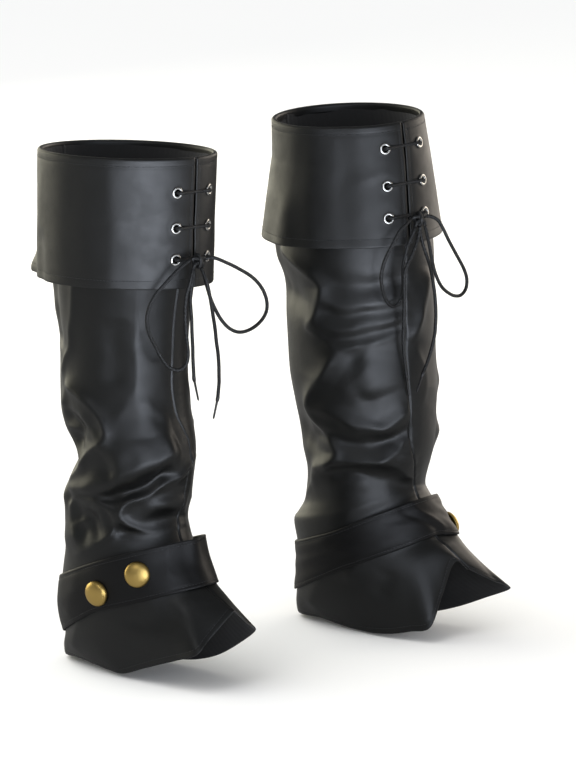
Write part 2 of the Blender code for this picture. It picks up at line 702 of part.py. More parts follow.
def strap_point(boot, angle, part, out):
    """The strap is the leg's own surface moved out, with a sprung upper front edge."""
    place = STRAP_TOP + part * (STRAP_FOOT - STRAP_TOP)
    base = leg_base(boot, angle, place)
    normal = leg_normal(boot, angle, place)
    fade = clamp(1.0 - abs(angle) / PROUD_ARC) ** PROUD_FADE
    spring = STRAP_PROUD[boot] * fade * (1.0 - part) ** PROUD_FALL
    lean = Vector((sin(radians(angle)) * PROUD_LEAN, cos(radians(angle)), 0.0)).normalized()
    return base + lean * spring + normal * (STRAP_OFF + out)


def make_strap(boot, name):
    angles = list(COLUMNS[:-1])
    angles += [-column for column in reversed(COLUMNS[1:])]
    loops = []
    parts = (0.0, 0.25, 0.5, 0.75, 1.0)
    for angle in angles:
        loop = [strap_point(boot, angle, part, 0.0) for part in parts]
        loop += [strap_point(boot, angle, part, STRAP_WALL) for part in reversed(parts)]
        loops.append(loop)
    points, faces = closed_hoop(loops)
    return make_mesh(name, boot, points, faces, "strap")


def strap_frame(boot, angle, part):
    here = strap_point(boot, angle, part, STRAP_WALL)
    step = strap_point(boot, angle + 7, part, STRAP_WALL) - strap_point(boot, angle - 7, part, STRAP_WALL)
    fall = strap_point(boot, angle, part + 0.25, STRAP_WALL)
    fall -= strap_point(boot, angle, part - 0.25, STRAP_WALL)
    across = step.normalized()
    outward = across.cross(fall.normalized())
    outward.normalize()
    if outward.dot(Vector((sin(radians(angle)), cos(radians(angle)), 0.2))) < 0:
        outward = -outward
    rise = outward.cross(across)
    return here, across, rise, outward


def make_stud(boot, angle, part, name):
    """A domed stud; its flat back lies on the strap."""
    profile = [
        (STUD_RADIUS - 1.0, 0.0), (STUD_RADIUS, 1.0), (STUD_RADIUS - 0.8, 2.9),
        (STUD_RADIUS * 0.74, 4.9), (STUD_RADIUS * 0.42, 6.4),
    ]
    here, across, rise, outward = strap_frame(boot, angle, part)
    here = here + outward * STUD_LIFT
    points, faces = lathe(profile, STUD_SIDES, (here, across, rise, outward), True)
    size = len(profile)
    faces.pop()
    points.append(here + outward * STUD_HEIGHT)
    for i in range(STUD_SIDES):
        j = (i + 1) % STUD_SIDES
        faces.append((i * size + size - 1, j * size + size - 1, len(points) - 1))
    return make_mesh(name, boot, points, faces, "gold")


def walk(route, step):
    """Points at even steps along the smooth curve through a route."""
    fine = [spline(route, i * 0.05) for i in range(20 * (len(route) - 1) + 1)]
    lengths = [0.0]
    for a, b in zip(fine, fine[1:]):
        lengths.append(lengths[-1] + sqrt(sum((x - y) ** 2 for x, y in zip(a, b))))
    count = max(2, int(round(lengths[-1] / step)))
    points = []
    index = 0
    for i in range(count + 1):
        goal = lengths[-1] * i / count
        while index < len(lengths) - 2 and lengths[index + 1] < goal:
            index += 1
        span = max(lengths[index + 1] - lengths[index], 1e-9)
        part = clamp((goal - lengths[index]) / span)
        points.append([x + (y - x) * part for x, y in zip(fine[index], fine[index + 1])])
    return points


def make_cord(boot, points, name):
    """A round lace along a run of points."""
    curve = bpy.data.curves.new(name, "CURVE")
    curve.dimensions = "3D"
    curve.bevel_depth = CORD_RADIUS * MM
    curve.bevel_resolution = 2
    curve.use_fill_caps = True
    line = curve.splines.new("POLY")
    line.points.add(len(points) - 1)
    for knot, point in zip(line.points, points):
        knot.co = (*to_object(boot, point), 1.0)
    curve.materials.append(own_paint(name, "lace"))
    obj = bpy.data.objects.new(name, curve)
    bpy.context.scene.collection.objects.link(obj)
    stand(obj, boot)
    return obj


def make_bar(boot, drop, name):
    """One crossing of the lace, in at one eyelet and out at the other."""
    up = CUFFS[boot]["rim"] - drop
    long, middle, half = cuff_row(boot, up)
    per_mm = degrees(1.0 / (0.5 * (long + half)))
    points = []
    for along, out in BAR:
        angle = slit_angle(boot, up) + (EYELET_ARC - along) * per_mm
        points.append(cuff_point(boot, angle, up, out))
    for along, out in reversed(BAR[:-1]):
        angle = slit_angle(boot, up) - (EYELET_ARC - along) * per_mm
        points.append(cuff_point(boot, angle, up, out))
    return make_cord(boot, points, name)


def knot_frame(boot):
    up = KNOTS[boot]["up"]
    angle = slit_angle(boot, up) + KNOTS[boot]["turn"]
    return cuff_frame(boot, angle, up, KNOTS[boot]["out"])


def lace_route(name):
    """The whole route of a free lace, with the places where it meets the knot."""
    here, across, rise, outward = knot_frame(name[-1])
    exits = [tuple(here + across * a + rise * b + outward * c) for a, b, c in KNOT_EXITS[name]]
    return (exits[0], *LACES[name], *exits[1:])


def make_knot(boot, name):
    """The bow's knot, pinched at its waist."""
    here, across, rise, outward = knot_frame(boot)
    wide, tall, deep = KNOT_HALF
    rows = 7
    turns = 12
    points = [here + across * wide * KNOT_END]
    faces = []
    for i in range(1, rows):
        polar = pi * i / rows
        waist = KNOT_WAIST + (1.0 - KNOT_WAIST) * abs(cos(polar)) ** 0.7
        for j in range(turns):
            turn = 2 * pi * j / turns
            arm = rise * (tall * cos(turn)) + outward * (deep * sin(turn))
            points.append(here + across * (wide * cos(polar)) + arm * (sin(polar) * waist))
    points.append(here - across * wide * KNOT_END)
    end = len(points) - 1
    for j in range(turns):
        k = (j + 1) % turns
        faces.append((0, 1 + j, 1 + k))
        faces.append((end, end - turns + j, end - turns + k))
        for i in range(rows - 2):
            a = 1 + i * turns
            faces.append((a + j, a + turns + j, a + turns + k, a + k))
    return make_mesh(name, boot, points, faces, "lace")


def make_tip(boot, start, before, far, name):
    """The thin hard tip beyond a lace's end."""
    start = Vector(start)
    far = Vector(far)
    along = (start - Vector(before)).normalized()
    near = start + along * TIP_GAP
    side = along.cross(Vector((0.3, 1.0, 0.1))).normalized()
    other = along.cross(side).normalized()
    loops = []
    for part, radius in ((0.0, TIP_RADIUS), (0.35, TIP_RADIUS), (1.0, TIP_RADIUS * TIP_TAPER)):
        middle = near.lerp(far, part)
        loop = []
        for i in range(TIP_SIDES):
            turn = 2 * pi * i / TIP_SIDES
            loop.append(middle + (side * cos(turn) + other * sin(turn)) * radius)
        loops.append(loop)
    points, faces = open_hoop(loops)
    return make_mesh(name, boot, points, faces, "lace")


# ---------------------------------------------------------------- build
def build():
    for obj in list(bpy.data.objects):
        bpy.data.objects.remove(obj, do_unlink=True)
    for boot in ("r", "l"):
        make_leg(boot, 1.0, "leg_outer_" + boot)
        make_leg(boot, -1.0, "leg_inner_" + boot)
        cuff = make_cuff(boot, "cuff_" + boot)
        cut_holes(cuff, boot)
        make_strap(boot, "strap_" + boot)
        for word, angle, part in STUDS[boot]:
            make_stud(boot, angle, part, "stud_" + word + "_" + boot)
        for side, word in ((1, "out"), (-1, "in")):
            for number, drop in enumerate(EYELETS_BELOW_RIM[boot], 1):
                make_eyelet(boot, side, drop, "eyelet_%s%d_%s" % (word, number, boot))
        for number, drop in enumerate(EYELETS_BELOW_RIM[boot], 1):
            make_bar(boot, drop, "lace_bar%d_%s" % (number, boot))
        make_knot(boot, "lace_knot_" + boot)
    for name in LACES:
        boot = name[-1]
        points = walk(lace_route(name), CORD_STEP)
        make_cord(boot, points, "lace_" + name)
        if name in TIPS:
            make_tip(boot, points[-1], points[-2], TIPS[name], "lace_tip_" + name[4:])


build()
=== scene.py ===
# %% [markdown]
# # A pair of boot covers
#
# The object is a pair of black faux-leather covers that turn low shoes into tall boots.
# Each one has a turned-down cuff laced over its front slit, a creased leg tube cut from two
# panels, and a strap with two domed studs round the ankle.
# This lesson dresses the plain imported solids: it reads their shape, lays finer cloth over
# them, and gives every piece a material that starts from the real one.

import json
from math import cos, degrees, pi, radians, sin

import bmesh
import bpy
import numpy as np
from mathutils import Vector
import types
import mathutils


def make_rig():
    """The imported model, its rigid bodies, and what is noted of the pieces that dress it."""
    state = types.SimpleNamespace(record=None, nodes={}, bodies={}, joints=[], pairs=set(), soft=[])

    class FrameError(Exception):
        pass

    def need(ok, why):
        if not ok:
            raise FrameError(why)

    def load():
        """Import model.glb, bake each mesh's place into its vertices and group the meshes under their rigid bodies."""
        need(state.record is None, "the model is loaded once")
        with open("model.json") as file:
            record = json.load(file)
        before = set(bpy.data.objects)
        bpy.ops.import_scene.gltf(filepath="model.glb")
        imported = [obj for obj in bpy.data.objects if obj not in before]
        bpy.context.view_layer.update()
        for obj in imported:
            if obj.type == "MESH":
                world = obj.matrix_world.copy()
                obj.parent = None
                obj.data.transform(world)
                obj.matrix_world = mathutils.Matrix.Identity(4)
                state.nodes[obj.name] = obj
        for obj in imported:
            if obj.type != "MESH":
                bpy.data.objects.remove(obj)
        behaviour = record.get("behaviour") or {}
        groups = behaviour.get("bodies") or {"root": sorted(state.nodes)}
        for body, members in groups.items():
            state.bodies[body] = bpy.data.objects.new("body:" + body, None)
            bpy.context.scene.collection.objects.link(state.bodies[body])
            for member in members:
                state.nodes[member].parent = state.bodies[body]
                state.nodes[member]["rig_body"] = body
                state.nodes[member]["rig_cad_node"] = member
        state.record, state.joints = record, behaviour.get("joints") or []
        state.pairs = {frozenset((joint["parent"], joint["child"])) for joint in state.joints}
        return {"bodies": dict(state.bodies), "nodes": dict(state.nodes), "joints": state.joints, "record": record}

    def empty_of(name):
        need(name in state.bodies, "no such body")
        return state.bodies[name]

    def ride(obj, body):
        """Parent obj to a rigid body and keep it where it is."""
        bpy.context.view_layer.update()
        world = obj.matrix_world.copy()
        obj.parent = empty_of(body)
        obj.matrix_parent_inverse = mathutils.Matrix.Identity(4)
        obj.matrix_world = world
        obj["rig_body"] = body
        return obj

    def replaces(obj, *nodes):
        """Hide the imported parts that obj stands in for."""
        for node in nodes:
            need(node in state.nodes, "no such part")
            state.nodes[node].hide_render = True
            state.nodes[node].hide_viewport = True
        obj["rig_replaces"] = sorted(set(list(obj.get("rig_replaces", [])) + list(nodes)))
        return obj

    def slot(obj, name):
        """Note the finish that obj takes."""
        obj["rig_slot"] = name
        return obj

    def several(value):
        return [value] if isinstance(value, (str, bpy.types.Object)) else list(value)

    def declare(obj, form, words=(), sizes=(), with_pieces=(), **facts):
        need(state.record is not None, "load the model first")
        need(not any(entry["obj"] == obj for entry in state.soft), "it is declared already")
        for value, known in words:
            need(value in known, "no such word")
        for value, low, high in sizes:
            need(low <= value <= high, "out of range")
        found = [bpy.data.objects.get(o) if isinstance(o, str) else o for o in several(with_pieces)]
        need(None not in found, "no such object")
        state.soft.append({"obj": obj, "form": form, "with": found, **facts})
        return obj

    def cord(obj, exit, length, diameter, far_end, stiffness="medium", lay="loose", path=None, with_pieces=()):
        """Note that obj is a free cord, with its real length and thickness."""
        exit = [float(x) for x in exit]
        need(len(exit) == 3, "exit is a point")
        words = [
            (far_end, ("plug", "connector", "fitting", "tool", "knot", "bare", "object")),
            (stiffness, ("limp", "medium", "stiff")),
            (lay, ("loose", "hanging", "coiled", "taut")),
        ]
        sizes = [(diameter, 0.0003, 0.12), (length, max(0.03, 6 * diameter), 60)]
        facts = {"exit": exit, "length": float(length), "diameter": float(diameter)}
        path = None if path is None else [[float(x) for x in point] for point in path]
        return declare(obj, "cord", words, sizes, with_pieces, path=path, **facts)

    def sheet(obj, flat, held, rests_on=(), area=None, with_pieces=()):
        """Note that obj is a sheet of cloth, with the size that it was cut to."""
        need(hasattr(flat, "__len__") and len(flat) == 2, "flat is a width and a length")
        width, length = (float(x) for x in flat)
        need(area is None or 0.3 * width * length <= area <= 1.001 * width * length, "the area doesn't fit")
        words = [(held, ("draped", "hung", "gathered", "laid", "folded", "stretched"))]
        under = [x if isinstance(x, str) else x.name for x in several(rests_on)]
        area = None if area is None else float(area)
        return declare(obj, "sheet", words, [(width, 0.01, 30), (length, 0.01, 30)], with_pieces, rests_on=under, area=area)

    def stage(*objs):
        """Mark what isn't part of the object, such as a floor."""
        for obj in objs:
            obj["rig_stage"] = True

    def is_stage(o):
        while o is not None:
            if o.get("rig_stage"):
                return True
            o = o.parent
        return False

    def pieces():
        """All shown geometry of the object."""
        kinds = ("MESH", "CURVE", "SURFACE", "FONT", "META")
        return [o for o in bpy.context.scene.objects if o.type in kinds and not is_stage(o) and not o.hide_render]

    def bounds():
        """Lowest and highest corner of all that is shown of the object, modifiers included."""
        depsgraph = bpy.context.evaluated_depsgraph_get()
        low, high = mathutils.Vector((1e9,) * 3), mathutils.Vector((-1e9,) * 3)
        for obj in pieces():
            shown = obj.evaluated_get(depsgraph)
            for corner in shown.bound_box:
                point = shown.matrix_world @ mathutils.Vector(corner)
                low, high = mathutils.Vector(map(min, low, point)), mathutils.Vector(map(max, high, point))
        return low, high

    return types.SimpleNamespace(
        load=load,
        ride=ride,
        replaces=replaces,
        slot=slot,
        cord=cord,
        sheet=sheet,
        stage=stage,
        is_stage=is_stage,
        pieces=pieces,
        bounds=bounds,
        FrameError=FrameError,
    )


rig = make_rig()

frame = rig.load()
cad_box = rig.bounds()
MM = 0.001
print("solids", len(frame["nodes"]))

# %% [markdown]
# ## The camera
#
# The covers are seen from the front and a little to one side, from far away with a long
# lens, so that both legs keep their real proportions.

# %% Camera
CAMERA_PLACE = Vector((-3.984, -3.027, 0.747))
CAMERA_AIM = Vector((-0.0045, -0.0503, -0.247))
CAMERA_LENS = 237.5
CAMERA_SENSOR = 36.0     # the sensor's longer side

camera = bpy.data.objects.new("camera", bpy.data.cameras.new("camera"))
bpy.context.scene.collection.objects.link(camera)
camera.location = CAMERA_PLACE
camera.rotation_euler = (CAMERA_AIM - CAMERA_PLACE).to_track_quat("-Z", "Y").to_euler()
camera.data.lens = CAMERA_LENS
camera.data.sensor_width = CAMERA_SENSOR
bpy.context.scene.camera = camera
print("camera looks down", round(degrees(camera.rotation_euler.x) - 90, 1), "degrees")

# %% [markdown]
# ## Where each boot stands
#
# A boot has three directions of its own: lateral (away from the other boot), forward (from
# the back of the heel) and up (from the floor). A piece is worked out in these, in
# millimetres, and then placed in the frame.

# %% Stance
FLOOR = -523.0           # the floor under the wearer, from the origin
HEEL = 85.0              # the leg's axis, ahead of the back of the heel
STANCE = {
    "r": dict(side=-1.0, place=(-143.0, 42.7), turn=-3.7, word="right"),
    "l": dict(side=1.0, place=(143.0, -42.7), turn=3.7, word="left"),
}


def placed(boot, points):
    """Points in a boot's own directions, in millimetres, turned into the frame's metres."""
    stance = STANCE[boot]
    p = np.asarray(points, float).reshape(-1, 3)
    x = stance["side"] * p[:, 0]
    y = HEEL - p[:, 1]
    c, s = cos(radians(stance["turn"])), sin(radians(stance["turn"]))
    across, back = stance["place"]
    return np.stack([c * x - s * y + across, s * x + c * y + back, p[:, 2] + FLOOR], 1) * MM


def unplaced(boot, points):
    """The other way: from the frame's metres to a boot's own directions."""
    stance = STANCE[boot]
    p = np.asarray(points, float).reshape(-1, 3) / MM
    across, back = stance["place"]
    dx, dy = p[:, 0] - across, p[:, 1] - back
    c, s = cos(radians(stance["turn"])), sin(radians(stance["turn"]))
    return np.stack([stance["side"] * (c * dx + s * dy), HEEL - (c * dy - s * dx), p[:, 2] - FLOOR], 1)


print("stance is kept both ways:", np.allclose(unplaced("r", placed("r", [[1, 2, 3]])), [[1, 2, 3]]))

# %% [markdown]
# ## Smooth curves and tubes
#
# Laces are swept tubes. A smooth curve runs through the route's own points, rings of points
# are set along it without twisting, and a UV map runs round the tube and along it in
# metres, so that a braid follows the lace.

# %% Curve and mesh helpers
ROUTE_STEPS = 24         # points of a smooth curve for each point of a route
OFF_AXIS = (0.31, 0.22, 0.93)    # a direction that nothing here follows
WELD = 0.001             # points of a tube closer than this are one, mm
TUBE_SIDES = 14


def catmull(points, places):
    """Reads a smooth curve through rows of points, at places counted in rows."""
    p = np.asarray(points, float)
    last = len(p) - 1
    t = np.clip(np.asarray(places, float), 0, last)
    i = np.minimum(t.astype(int), last - 1)
    f = (t - i).reshape((-1,) + (1,) * (p.ndim - 1))
    a, b, c, d = p[np.maximum(i - 1, 0)], p[i], p[i + 1], p[np.minimum(i + 2, last)]
    return 0.5 * (2 * b + (c - a) * f + (2 * a - 5 * b + 4 * c - d) * f**2 + (3 * b - a - 3 * c + d) * f**3)


def run_along(line):
    """Distance of each point of a line from its first one."""
    return np.concatenate([[0], np.cumsum(np.linalg.norm(np.diff(line, axis=0), axis=1))])


def evenly(points, step):
    """Points a step apart along the smooth curve through a route."""
    fine = catmull(points, np.linspace(0, len(points) - 1, ROUTE_STEPS * len(points)))
    run = run_along(fine)
    at = np.linspace(0, run[-1], max(3, int(round(run[-1] / step)) + 1))
    return np.stack([np.interp(at, run, fine[:, k]) for k in range(3)], 1)


def unit(vectors):
    return vectors / np.maximum(np.linalg.norm(vectors, axis=-1, keepdims=True), 1e-12)


def grid_faces(rows, columns, first=0, round_it=False):
    """Four-sided faces of a grid of points, numbered row by row."""
    r, c = np.meshgrid(np.arange(rows - 1), np.arange(columns - (not round_it)), indexing="ij")
    a = first + r * columns + c
    b = first + r * columns + (c + 1) % columns
    return np.stack([a, b, b + columns, a + columns], -1).reshape(-1, 4)


def new_piece(name, points, faces, uv=None, sharp=None):
    """A smooth-shaded mesh object at the origin; uv has a pair of numbers for each point."""
    mesh = bpy.data.meshes.new(name)
    mesh.from_pydata(np.asarray(points, float).tolist(), [], [list(map(int, f)) for f in faces])
    mesh.shade_smooth()
    if uv is not None:
        corner = np.zeros(len(mesh.loops), int)
        mesh.loops.foreach_get("vertex_index", corner)
        layer = mesh.uv_layers.new(name="cloth")
        layer.uv.foreach_set("vector", np.asarray(uv, float)[corner].ravel().astype(np.float32))
    if sharp is not None:
        mesh.set_sharp_from_angle(angle=radians(sharp))
    obj = bpy.data.objects.new(name, mesh)
    bpy.context.scene.collection.objects.link(obj)
    return obj


def mended(obj, weld=0.0):
    """The piece with its near points merged and every face turned outwards."""
    shape = bmesh.new()
    shape.from_mesh(obj.data)
    if weld:
        bmesh.ops.remove_doubles(shape, verts=shape.verts, dist=weld * MM)
    bmesh.ops.recalc_face_normals(shape, faces=shape.faces)
    shape.to_mesh(obj.data)
    shape.free()
    return obj


def stands_for(obj, slot, *nodes):
    """The piece rides on the one body, takes a slot's finish, and is shown in place of its solids."""
    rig.ride(obj, "root")
    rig.slot(obj, slot)
    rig.replaces(obj, *nodes)


def tube(name, line, radius, sides=TUBE_SIDES):
    """A round tube along a line of points, closed at both ends, in metres."""
    line = np.asarray(line, float)
    ahead = unit(np.gradient(line, axis=0))
    side = unit(np.cross(ahead[0], OFF_AXIS))
    sides_at = []
    for direction in ahead:
        side = unit(side - direction * side.dot(direction))
        sides_at.append(side)
    across = np.array(sides_at)
    other = np.cross(ahead, across)
    turn = np.linspace(0, 2 * pi, sides + 1)
    arm = across[:, None] * np.cos(turn)[None, :, None] + other[:, None] * np.sin(turn)[None, :, None]
    radii = np.broadcast_to(radius, len(line))[:, None, None]
    rings = line[:, None] + arm * radii
    run = run_along(line)
    uv = np.stack(np.broadcast_arrays(turn[None] / (2 * pi), run[:, None]), -1).reshape(-1, 2)
    points = np.concatenate([rings.reshape(-1, 3), line[:1], line[-1:]])
    uv = np.concatenate([uv, [[0.5, 0.0]], [[0.5, run[-1]]]])
    faces = [list(f) for f in grid_faces(len(line), sides + 1)]
    end = len(points) - 2
    base = (len(line) - 1) * (sides + 1)
    faces += [[end, k + 1, k] for k in range(sides)]
    faces += [[end + 1, base + k, base + k + 1] for k in range(sides)]
    return mended(new_piece(name, points, faces, uv), WELD)


print("a test tube has", len(tube("test", np.eye(3), 0.1).data.polygons), "faces")
bpy.data.objects.remove(bpy.data.objects["test"], do_unlink=True)

# %% [markdown]
# ## The laces
#
# Round black laces leave the bow's knot as two loops and two ends. They are limp, so they
# hang against the cover and bend no tighter than two diameters. Their routes are the ones
# that the solids follow. Crossings between eyelets are held taut at both ends.

# %% Lace routes
CORD = 3.6               # lace diameter
LACES = {                 # routes of the free laces: lateral, forward, up
    "loop_out_r": (
        (24, 179, 420), (33, 175, 412), (42, 170, 402), (48, 165, 393),
        (52, 161, 383), (53.5, 158, 370), (50, 157, 355), (41, 157.5, 340), (34, 159, 328),
        (26, 162, 317.5), (17, 166.5, 314), (11, 170.5, 319), (10, 172.5, 329),
        (13, 174, 342), (16, 175, 356), (18, 176, 371), (18.5, 178, 388), (16, 181, 403)),
    "loop_in_r": (
        (-13, 185, 423.5), (-24, 188, 419), (-39, 193, 411), (-56, 198, 400),
        (-67, 201, 388), (-72, 203, 375), (-70, 204, 364), (-62, 203, 355), (-49, 201, 349),
        (-36, 198, 348), (-26, 194, 353), (-19, 190, 362), (-13.5, 187, 373), (-9, 185, 384),
        (-5, 184, 396), (-2.6, 183.5, 405)),
    "end_in_r": (
        (2.6, 189, 406), (1, 190, 399), (-1.5, 190.5, 389), (-5, 190, 377),
        (-9, 188.5, 366), (-14, 186.5, 353), (-18, 184.5, 340), (-22, 183, 328),
        (-25, 181.5, 316), (-27, 180, 303), (-27.8, 179.4, 297), (-27.5, 179, 291),
        (-27.3, 178.5, 285), (-27, 178, 280)),
    "end_out_r": (
        (8.4, 178.6, 405), (10.3, 178.2, 401), (11.5, 178, 397), (12.5, 178, 388), (12, 177.5, 382),
        (11, 177, 377), (9.7, 176.5, 370), (8.6, 176, 364), (7, 175, 351), (5, 174, 338),
        (4.2, 173.5, 332), (3.6, 173, 326), (2.2, 172.4, 315), (1, 172, 304)),
    "loop_in_l": (
        (-44, 157.5, 430.5), (-53.5, 155, 424), (-59.5, 153, 415), (-65, 150, 405), (-69.5, 147, 394),
        (-71.5, 145, 381), (-68.5, 144, 368.5), (-63, 144, 357), (-56.5, 145.5, 349),
        (-50, 147.5, 346.5), (-44.5, 149.5, 350), (-41.5, 151, 356.5), (-40.8, 151.8, 364),
        (-42, 152.5, 376), (-43, 153.3, 389), (-41.5, 155.3, 401), (-38, 157.4, 412)),
    "loop_out_l": (
        (-10.5, 166.5, 434), (-6, 171.5, 430), (-2.5, 175.5, 421),
        (3, 178, 410), (10, 180, 399), (19, 181.5, 387), (27, 182.5, 376), (31.5, 183, 365.5),
        (30, 182.8, 356), (22, 182, 350.5), (12, 180.5, 351), (2, 179, 355.5), (-7, 177.5, 362),
        (-13.5, 176, 371), (-17.5, 174, 382), (-18.8, 171.5, 395), (-18.6, 168.5, 408)),
    "end_out_l": (
        (-21, 160.5, 416), (-19.5, 162.5, 405), (-16.5, 164.5, 395), (-12.5, 166, 384),
        (-8.5, 166.5, 371), (-5, 167, 356), (-3.5, 167.5, 342), (-3, 167.5, 335), (-3, 167.5, 327),
        (-3.3, 167.2, 320), (-4, 167, 313), (-8, 166, 299), (-14, 164.5, 285), (-20.5, 163, 274)),
    "end_in_l": (
        (-30.5, 163.5, 417), (-35.5, 163, 407), (-41, 161.5, 397), (-46, 159.6, 388.5),
        (-48, 158, 380), (-46, 156.5, 365), (-43.5, 155, 349), (-42.5, 154.2, 340), (-42, 153.5, 331),
        (-41.4, 153, 322), (-41, 152.5, 313), (-39, 152, 298), (-36, 152, 284), (-33.5, 152, 271)),
}
TIPS = {                  # the point of each free end's tip
    "end_in_r": (-22.6, 176.4, 260.5),
    "end_out_r": (-5.5, 172.0, 281.0),
    "end_out_l": (-30.5, 162.0, 257.0),
    "end_in_l": (-29.5, 152.0, 251.0),
}
print("free laces", len(LACES))

# %% [markdown]
# ### From the knot and along the route
#
# A loop leaves the knot at one side and comes back under it, and an end leaves it below. So
# each route gets the knot's own exits before its first point, and for a loop also after its
# last, and the knot's solid says where those are and how the bow is turned.

# %% Sweep the laces
LACE_STEP = 1.8          # between rings along a lace
KNOT_EXITS = {            # from the knot's middle: across, up, out
    "loop_out_r": ((10.4, 1.6, 0.0), (6.4, -7.8, 0.6)),
    "loop_in_r": ((-10.0, 1.6, 0.0), (-6.4, -7.6, 0.6)),
    "end_in_r": ((-2.4, -6.5, 2.8),),
    "end_out_r": ((2.4, -7.0, -2.8),),
    "loop_in_l": ((-10.4, 1.6, 0.0), (-6.6, -7.9, 0.6)),
    "loop_out_l": ((10.4, 1.6, 0.0), (6.4, -7.8, 0.6)),
    "end_out_l": ((2.4, -7.0, -2.8),),
    "end_in_l": ((-2.4, -7.0, 3.0),),
}


def own_axes(name):
    """A solid's middle and its own three directions, widest first, in its boot's directions."""
    points = unplaced(name[-1], [v.co for v in frame["nodes"][name].data.vertices])
    middle = points.mean(0)
    axes = np.linalg.eigh(np.cov((points - middle).T))[1]
    return points, middle, axes.T[::-1]


def knot_axes(boot):
    """The knot's middle and its directions across, up and out."""
    _, middle, (across, rise, outward) = own_axes("lace_knot_" + boot)
    across, rise = across * np.sign(across[0]), rise * np.sign(rise[2])
    return middle, np.array([across, rise, outward * np.sign(outward[1])])


def lace_line(name):
    """The route of a free lace with the places where it meets the knot."""
    middle, axes = knot_axes(name[-1])
    exits = [middle + np.array(offset) @ axes for offset in KNOT_EXITS[name]]
    return evenly([exits[0], *LACES[name], *exits[1:]], LACE_STEP)


def run_length(line):
    return float(np.linalg.norm(np.diff(line, axis=0), axis=1).sum())


laces = {}
for name in LACES:
    boot = name[-1]
    line = placed(boot, lace_line(name))
    title = "lace_" + name[:-1] + STANCE[boot]["word"]
    laces[name] = dict(piece=tube(title, line, 0.5 * CORD * MM), line=line)
    print(title, round(run_length(line) * 1000), "mm long")

# %% [markdown]
# ### Knots and tips
#
# The bow's knot is the lace itself: two strands pass through and one turn is drawn tight
# round them. Each free end is dipped into a thin hard tip, so that it can be threaded.

# %% Knots and tips
KNOT_STRANDS = (          # across, up, out, from the knot's middle
    ((-9.0, 1.6, 0.0), (-6.5, 3.0, 1.4), (-2.5, 2.8, 2.3), (2.5, 2.6, 2.3), (6.5, 3.0, 1.4),
     (9.0, 1.6, 0.0)),
    ((-6.2, -6.6, 0.4), (-5.4, -3.2, 2.0), (-1.5, -1.4, 2.4), (2.2, -1.6, 2.4), (5.4, -3.4, 1.8),
     (6.2, -6.6, 0.4)),
    ((-2.4, -6.6, 2.2), (-1.2, -3.6, 0.4), (0.0, -1.0, -1.6), (1.2, -3.8, -2.2), (2.4, -6.6, -2.4)),
)
STRAND_RADIUS = 1.9      # a little more than the lace's, as the strands press together
WRAP_TURNS = 1.3         # half turns of the strand round the knot, to each side
WRAP_HALF = (2.1, 6.1, 4.0)      # across, up, out
WRAP_STEPS = 46
FINE_STEP = 0.8          # between rings of a knot's strand or a tip
TIP_OVERLAP = 3.0        # a tip starts this far before its lace's end
TIP_PROFILE = (           # share of the tip's length, radius
    (0.0, 1.6), (0.04, 1.95), (0.16, 1.9), (0.26, 1.2), (0.95, 1.0), (1.0, 0.6))
TIP_SIDES = 12


def joined(name, pieces):
    """Several new pieces as one."""
    bpy.ops.object.select_all(action="DESELECT")
    for piece in pieces:
        piece.select_set(True)
    bpy.context.view_layer.objects.active = pieces[0]
    bpy.ops.object.join()
    pieces[0].name = name
    pieces[0].data.name = name
    return pieces[0]


def make_knot(boot):
    middle, axes = knot_axes(boot)
    wide, tall, deep = WRAP_HALF
    turns = np.linspace(-pi * WRAP_TURNS, pi * WRAP_TURNS, WRAP_STEPS)
    wrap = np.stack([wide * turns / (pi * WRAP_TURNS), tall * np.sin(turns), deep * np.cos(turns)], 1)
    routes = [evenly(strand, FINE_STEP) for strand in KNOT_STRANDS] + [wrap]
    strands = [tube("strand", placed(boot, middle + route @ axes), STRAND_RADIUS * MM) for route in routes]
    return joined("lace_knot_" + STANCE[boot]["word"], strands)


def make_tip(name):
    """A lace's thin tip, crimped over its end."""
    boot = name[-1]
    line = unplaced(boot, laces[name]["line"])
    start = line[-1] - TIP_OVERLAP * unit(line[-1] - line[-3])
    route = evenly([start, line[-1], 0.5 * (line[-1] + TIPS[name]), TIPS[name]], FINE_STEP)
    radius = np.interp(np.linspace(0, 1, len(route)), *zip(*TIP_PROFILE))
    title = "lace_tip_" + name[4:-1] + STANCE[boot]["word"]
    return tube(title, placed(boot, route), radius * MM, TIP_SIDES)


knots = {boot: make_knot(boot) for boot in "rl"}
tips = {name: make_tip(name) for name in TIPS}
for name, lace in laces.items():
    boot = name[-1]
    with_it = [tips[name]] if name in tips else [knots[boot]] if "out" in name else []
    stands_for(lace["piece"], "lace_cord", "lace_" + name)
    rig.cord(lace["piece"], exit=lace["line"][0], length=run_length(lace["line"]), diameter=CORD * MM,
            far_end="fitting" if name in tips else "knot", stiffness="limp", lay="hanging",
            path=lace["line"], with_pieces=with_it)
for boot, knot in knots.items():
    stands_for(knot, "lace_cord", "lace_knot_" + boot)
for name, tip in tips.items():
    stands_for(tip, "lace_tip", "lace_tip_" + name[4:])
print("knots", len(knots), "tips", len(tips))

# %% [markdown]
# ## Reading the cloth off the solids
#
# Each panel's solid is a thin wall whose outer face is a grid: rows run round the leg, and
# columns run down it. Taking away the narrow faces of its edges leaves two layers, and
# walking from the top row to each next neighbour gives the grid back, so that the cloth can
# be smoothed and creased without measuring anything twice.

# %% Grid of a wall
WALL = 1.5               # faux leather with its knitted back
STRAP_WALL = 2.2
TOP_BAND = 20.0          # the top row lies in this band under the highest point
EDGE_FACE = 1.25         # faces of a wall's edges are narrower than this many walls
SOLID_WELD = 0.02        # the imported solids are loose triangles: points closer than this meet


def neighbours(points):
    return {edge.other_vert(p) for p in points for edge in p.link_edges}


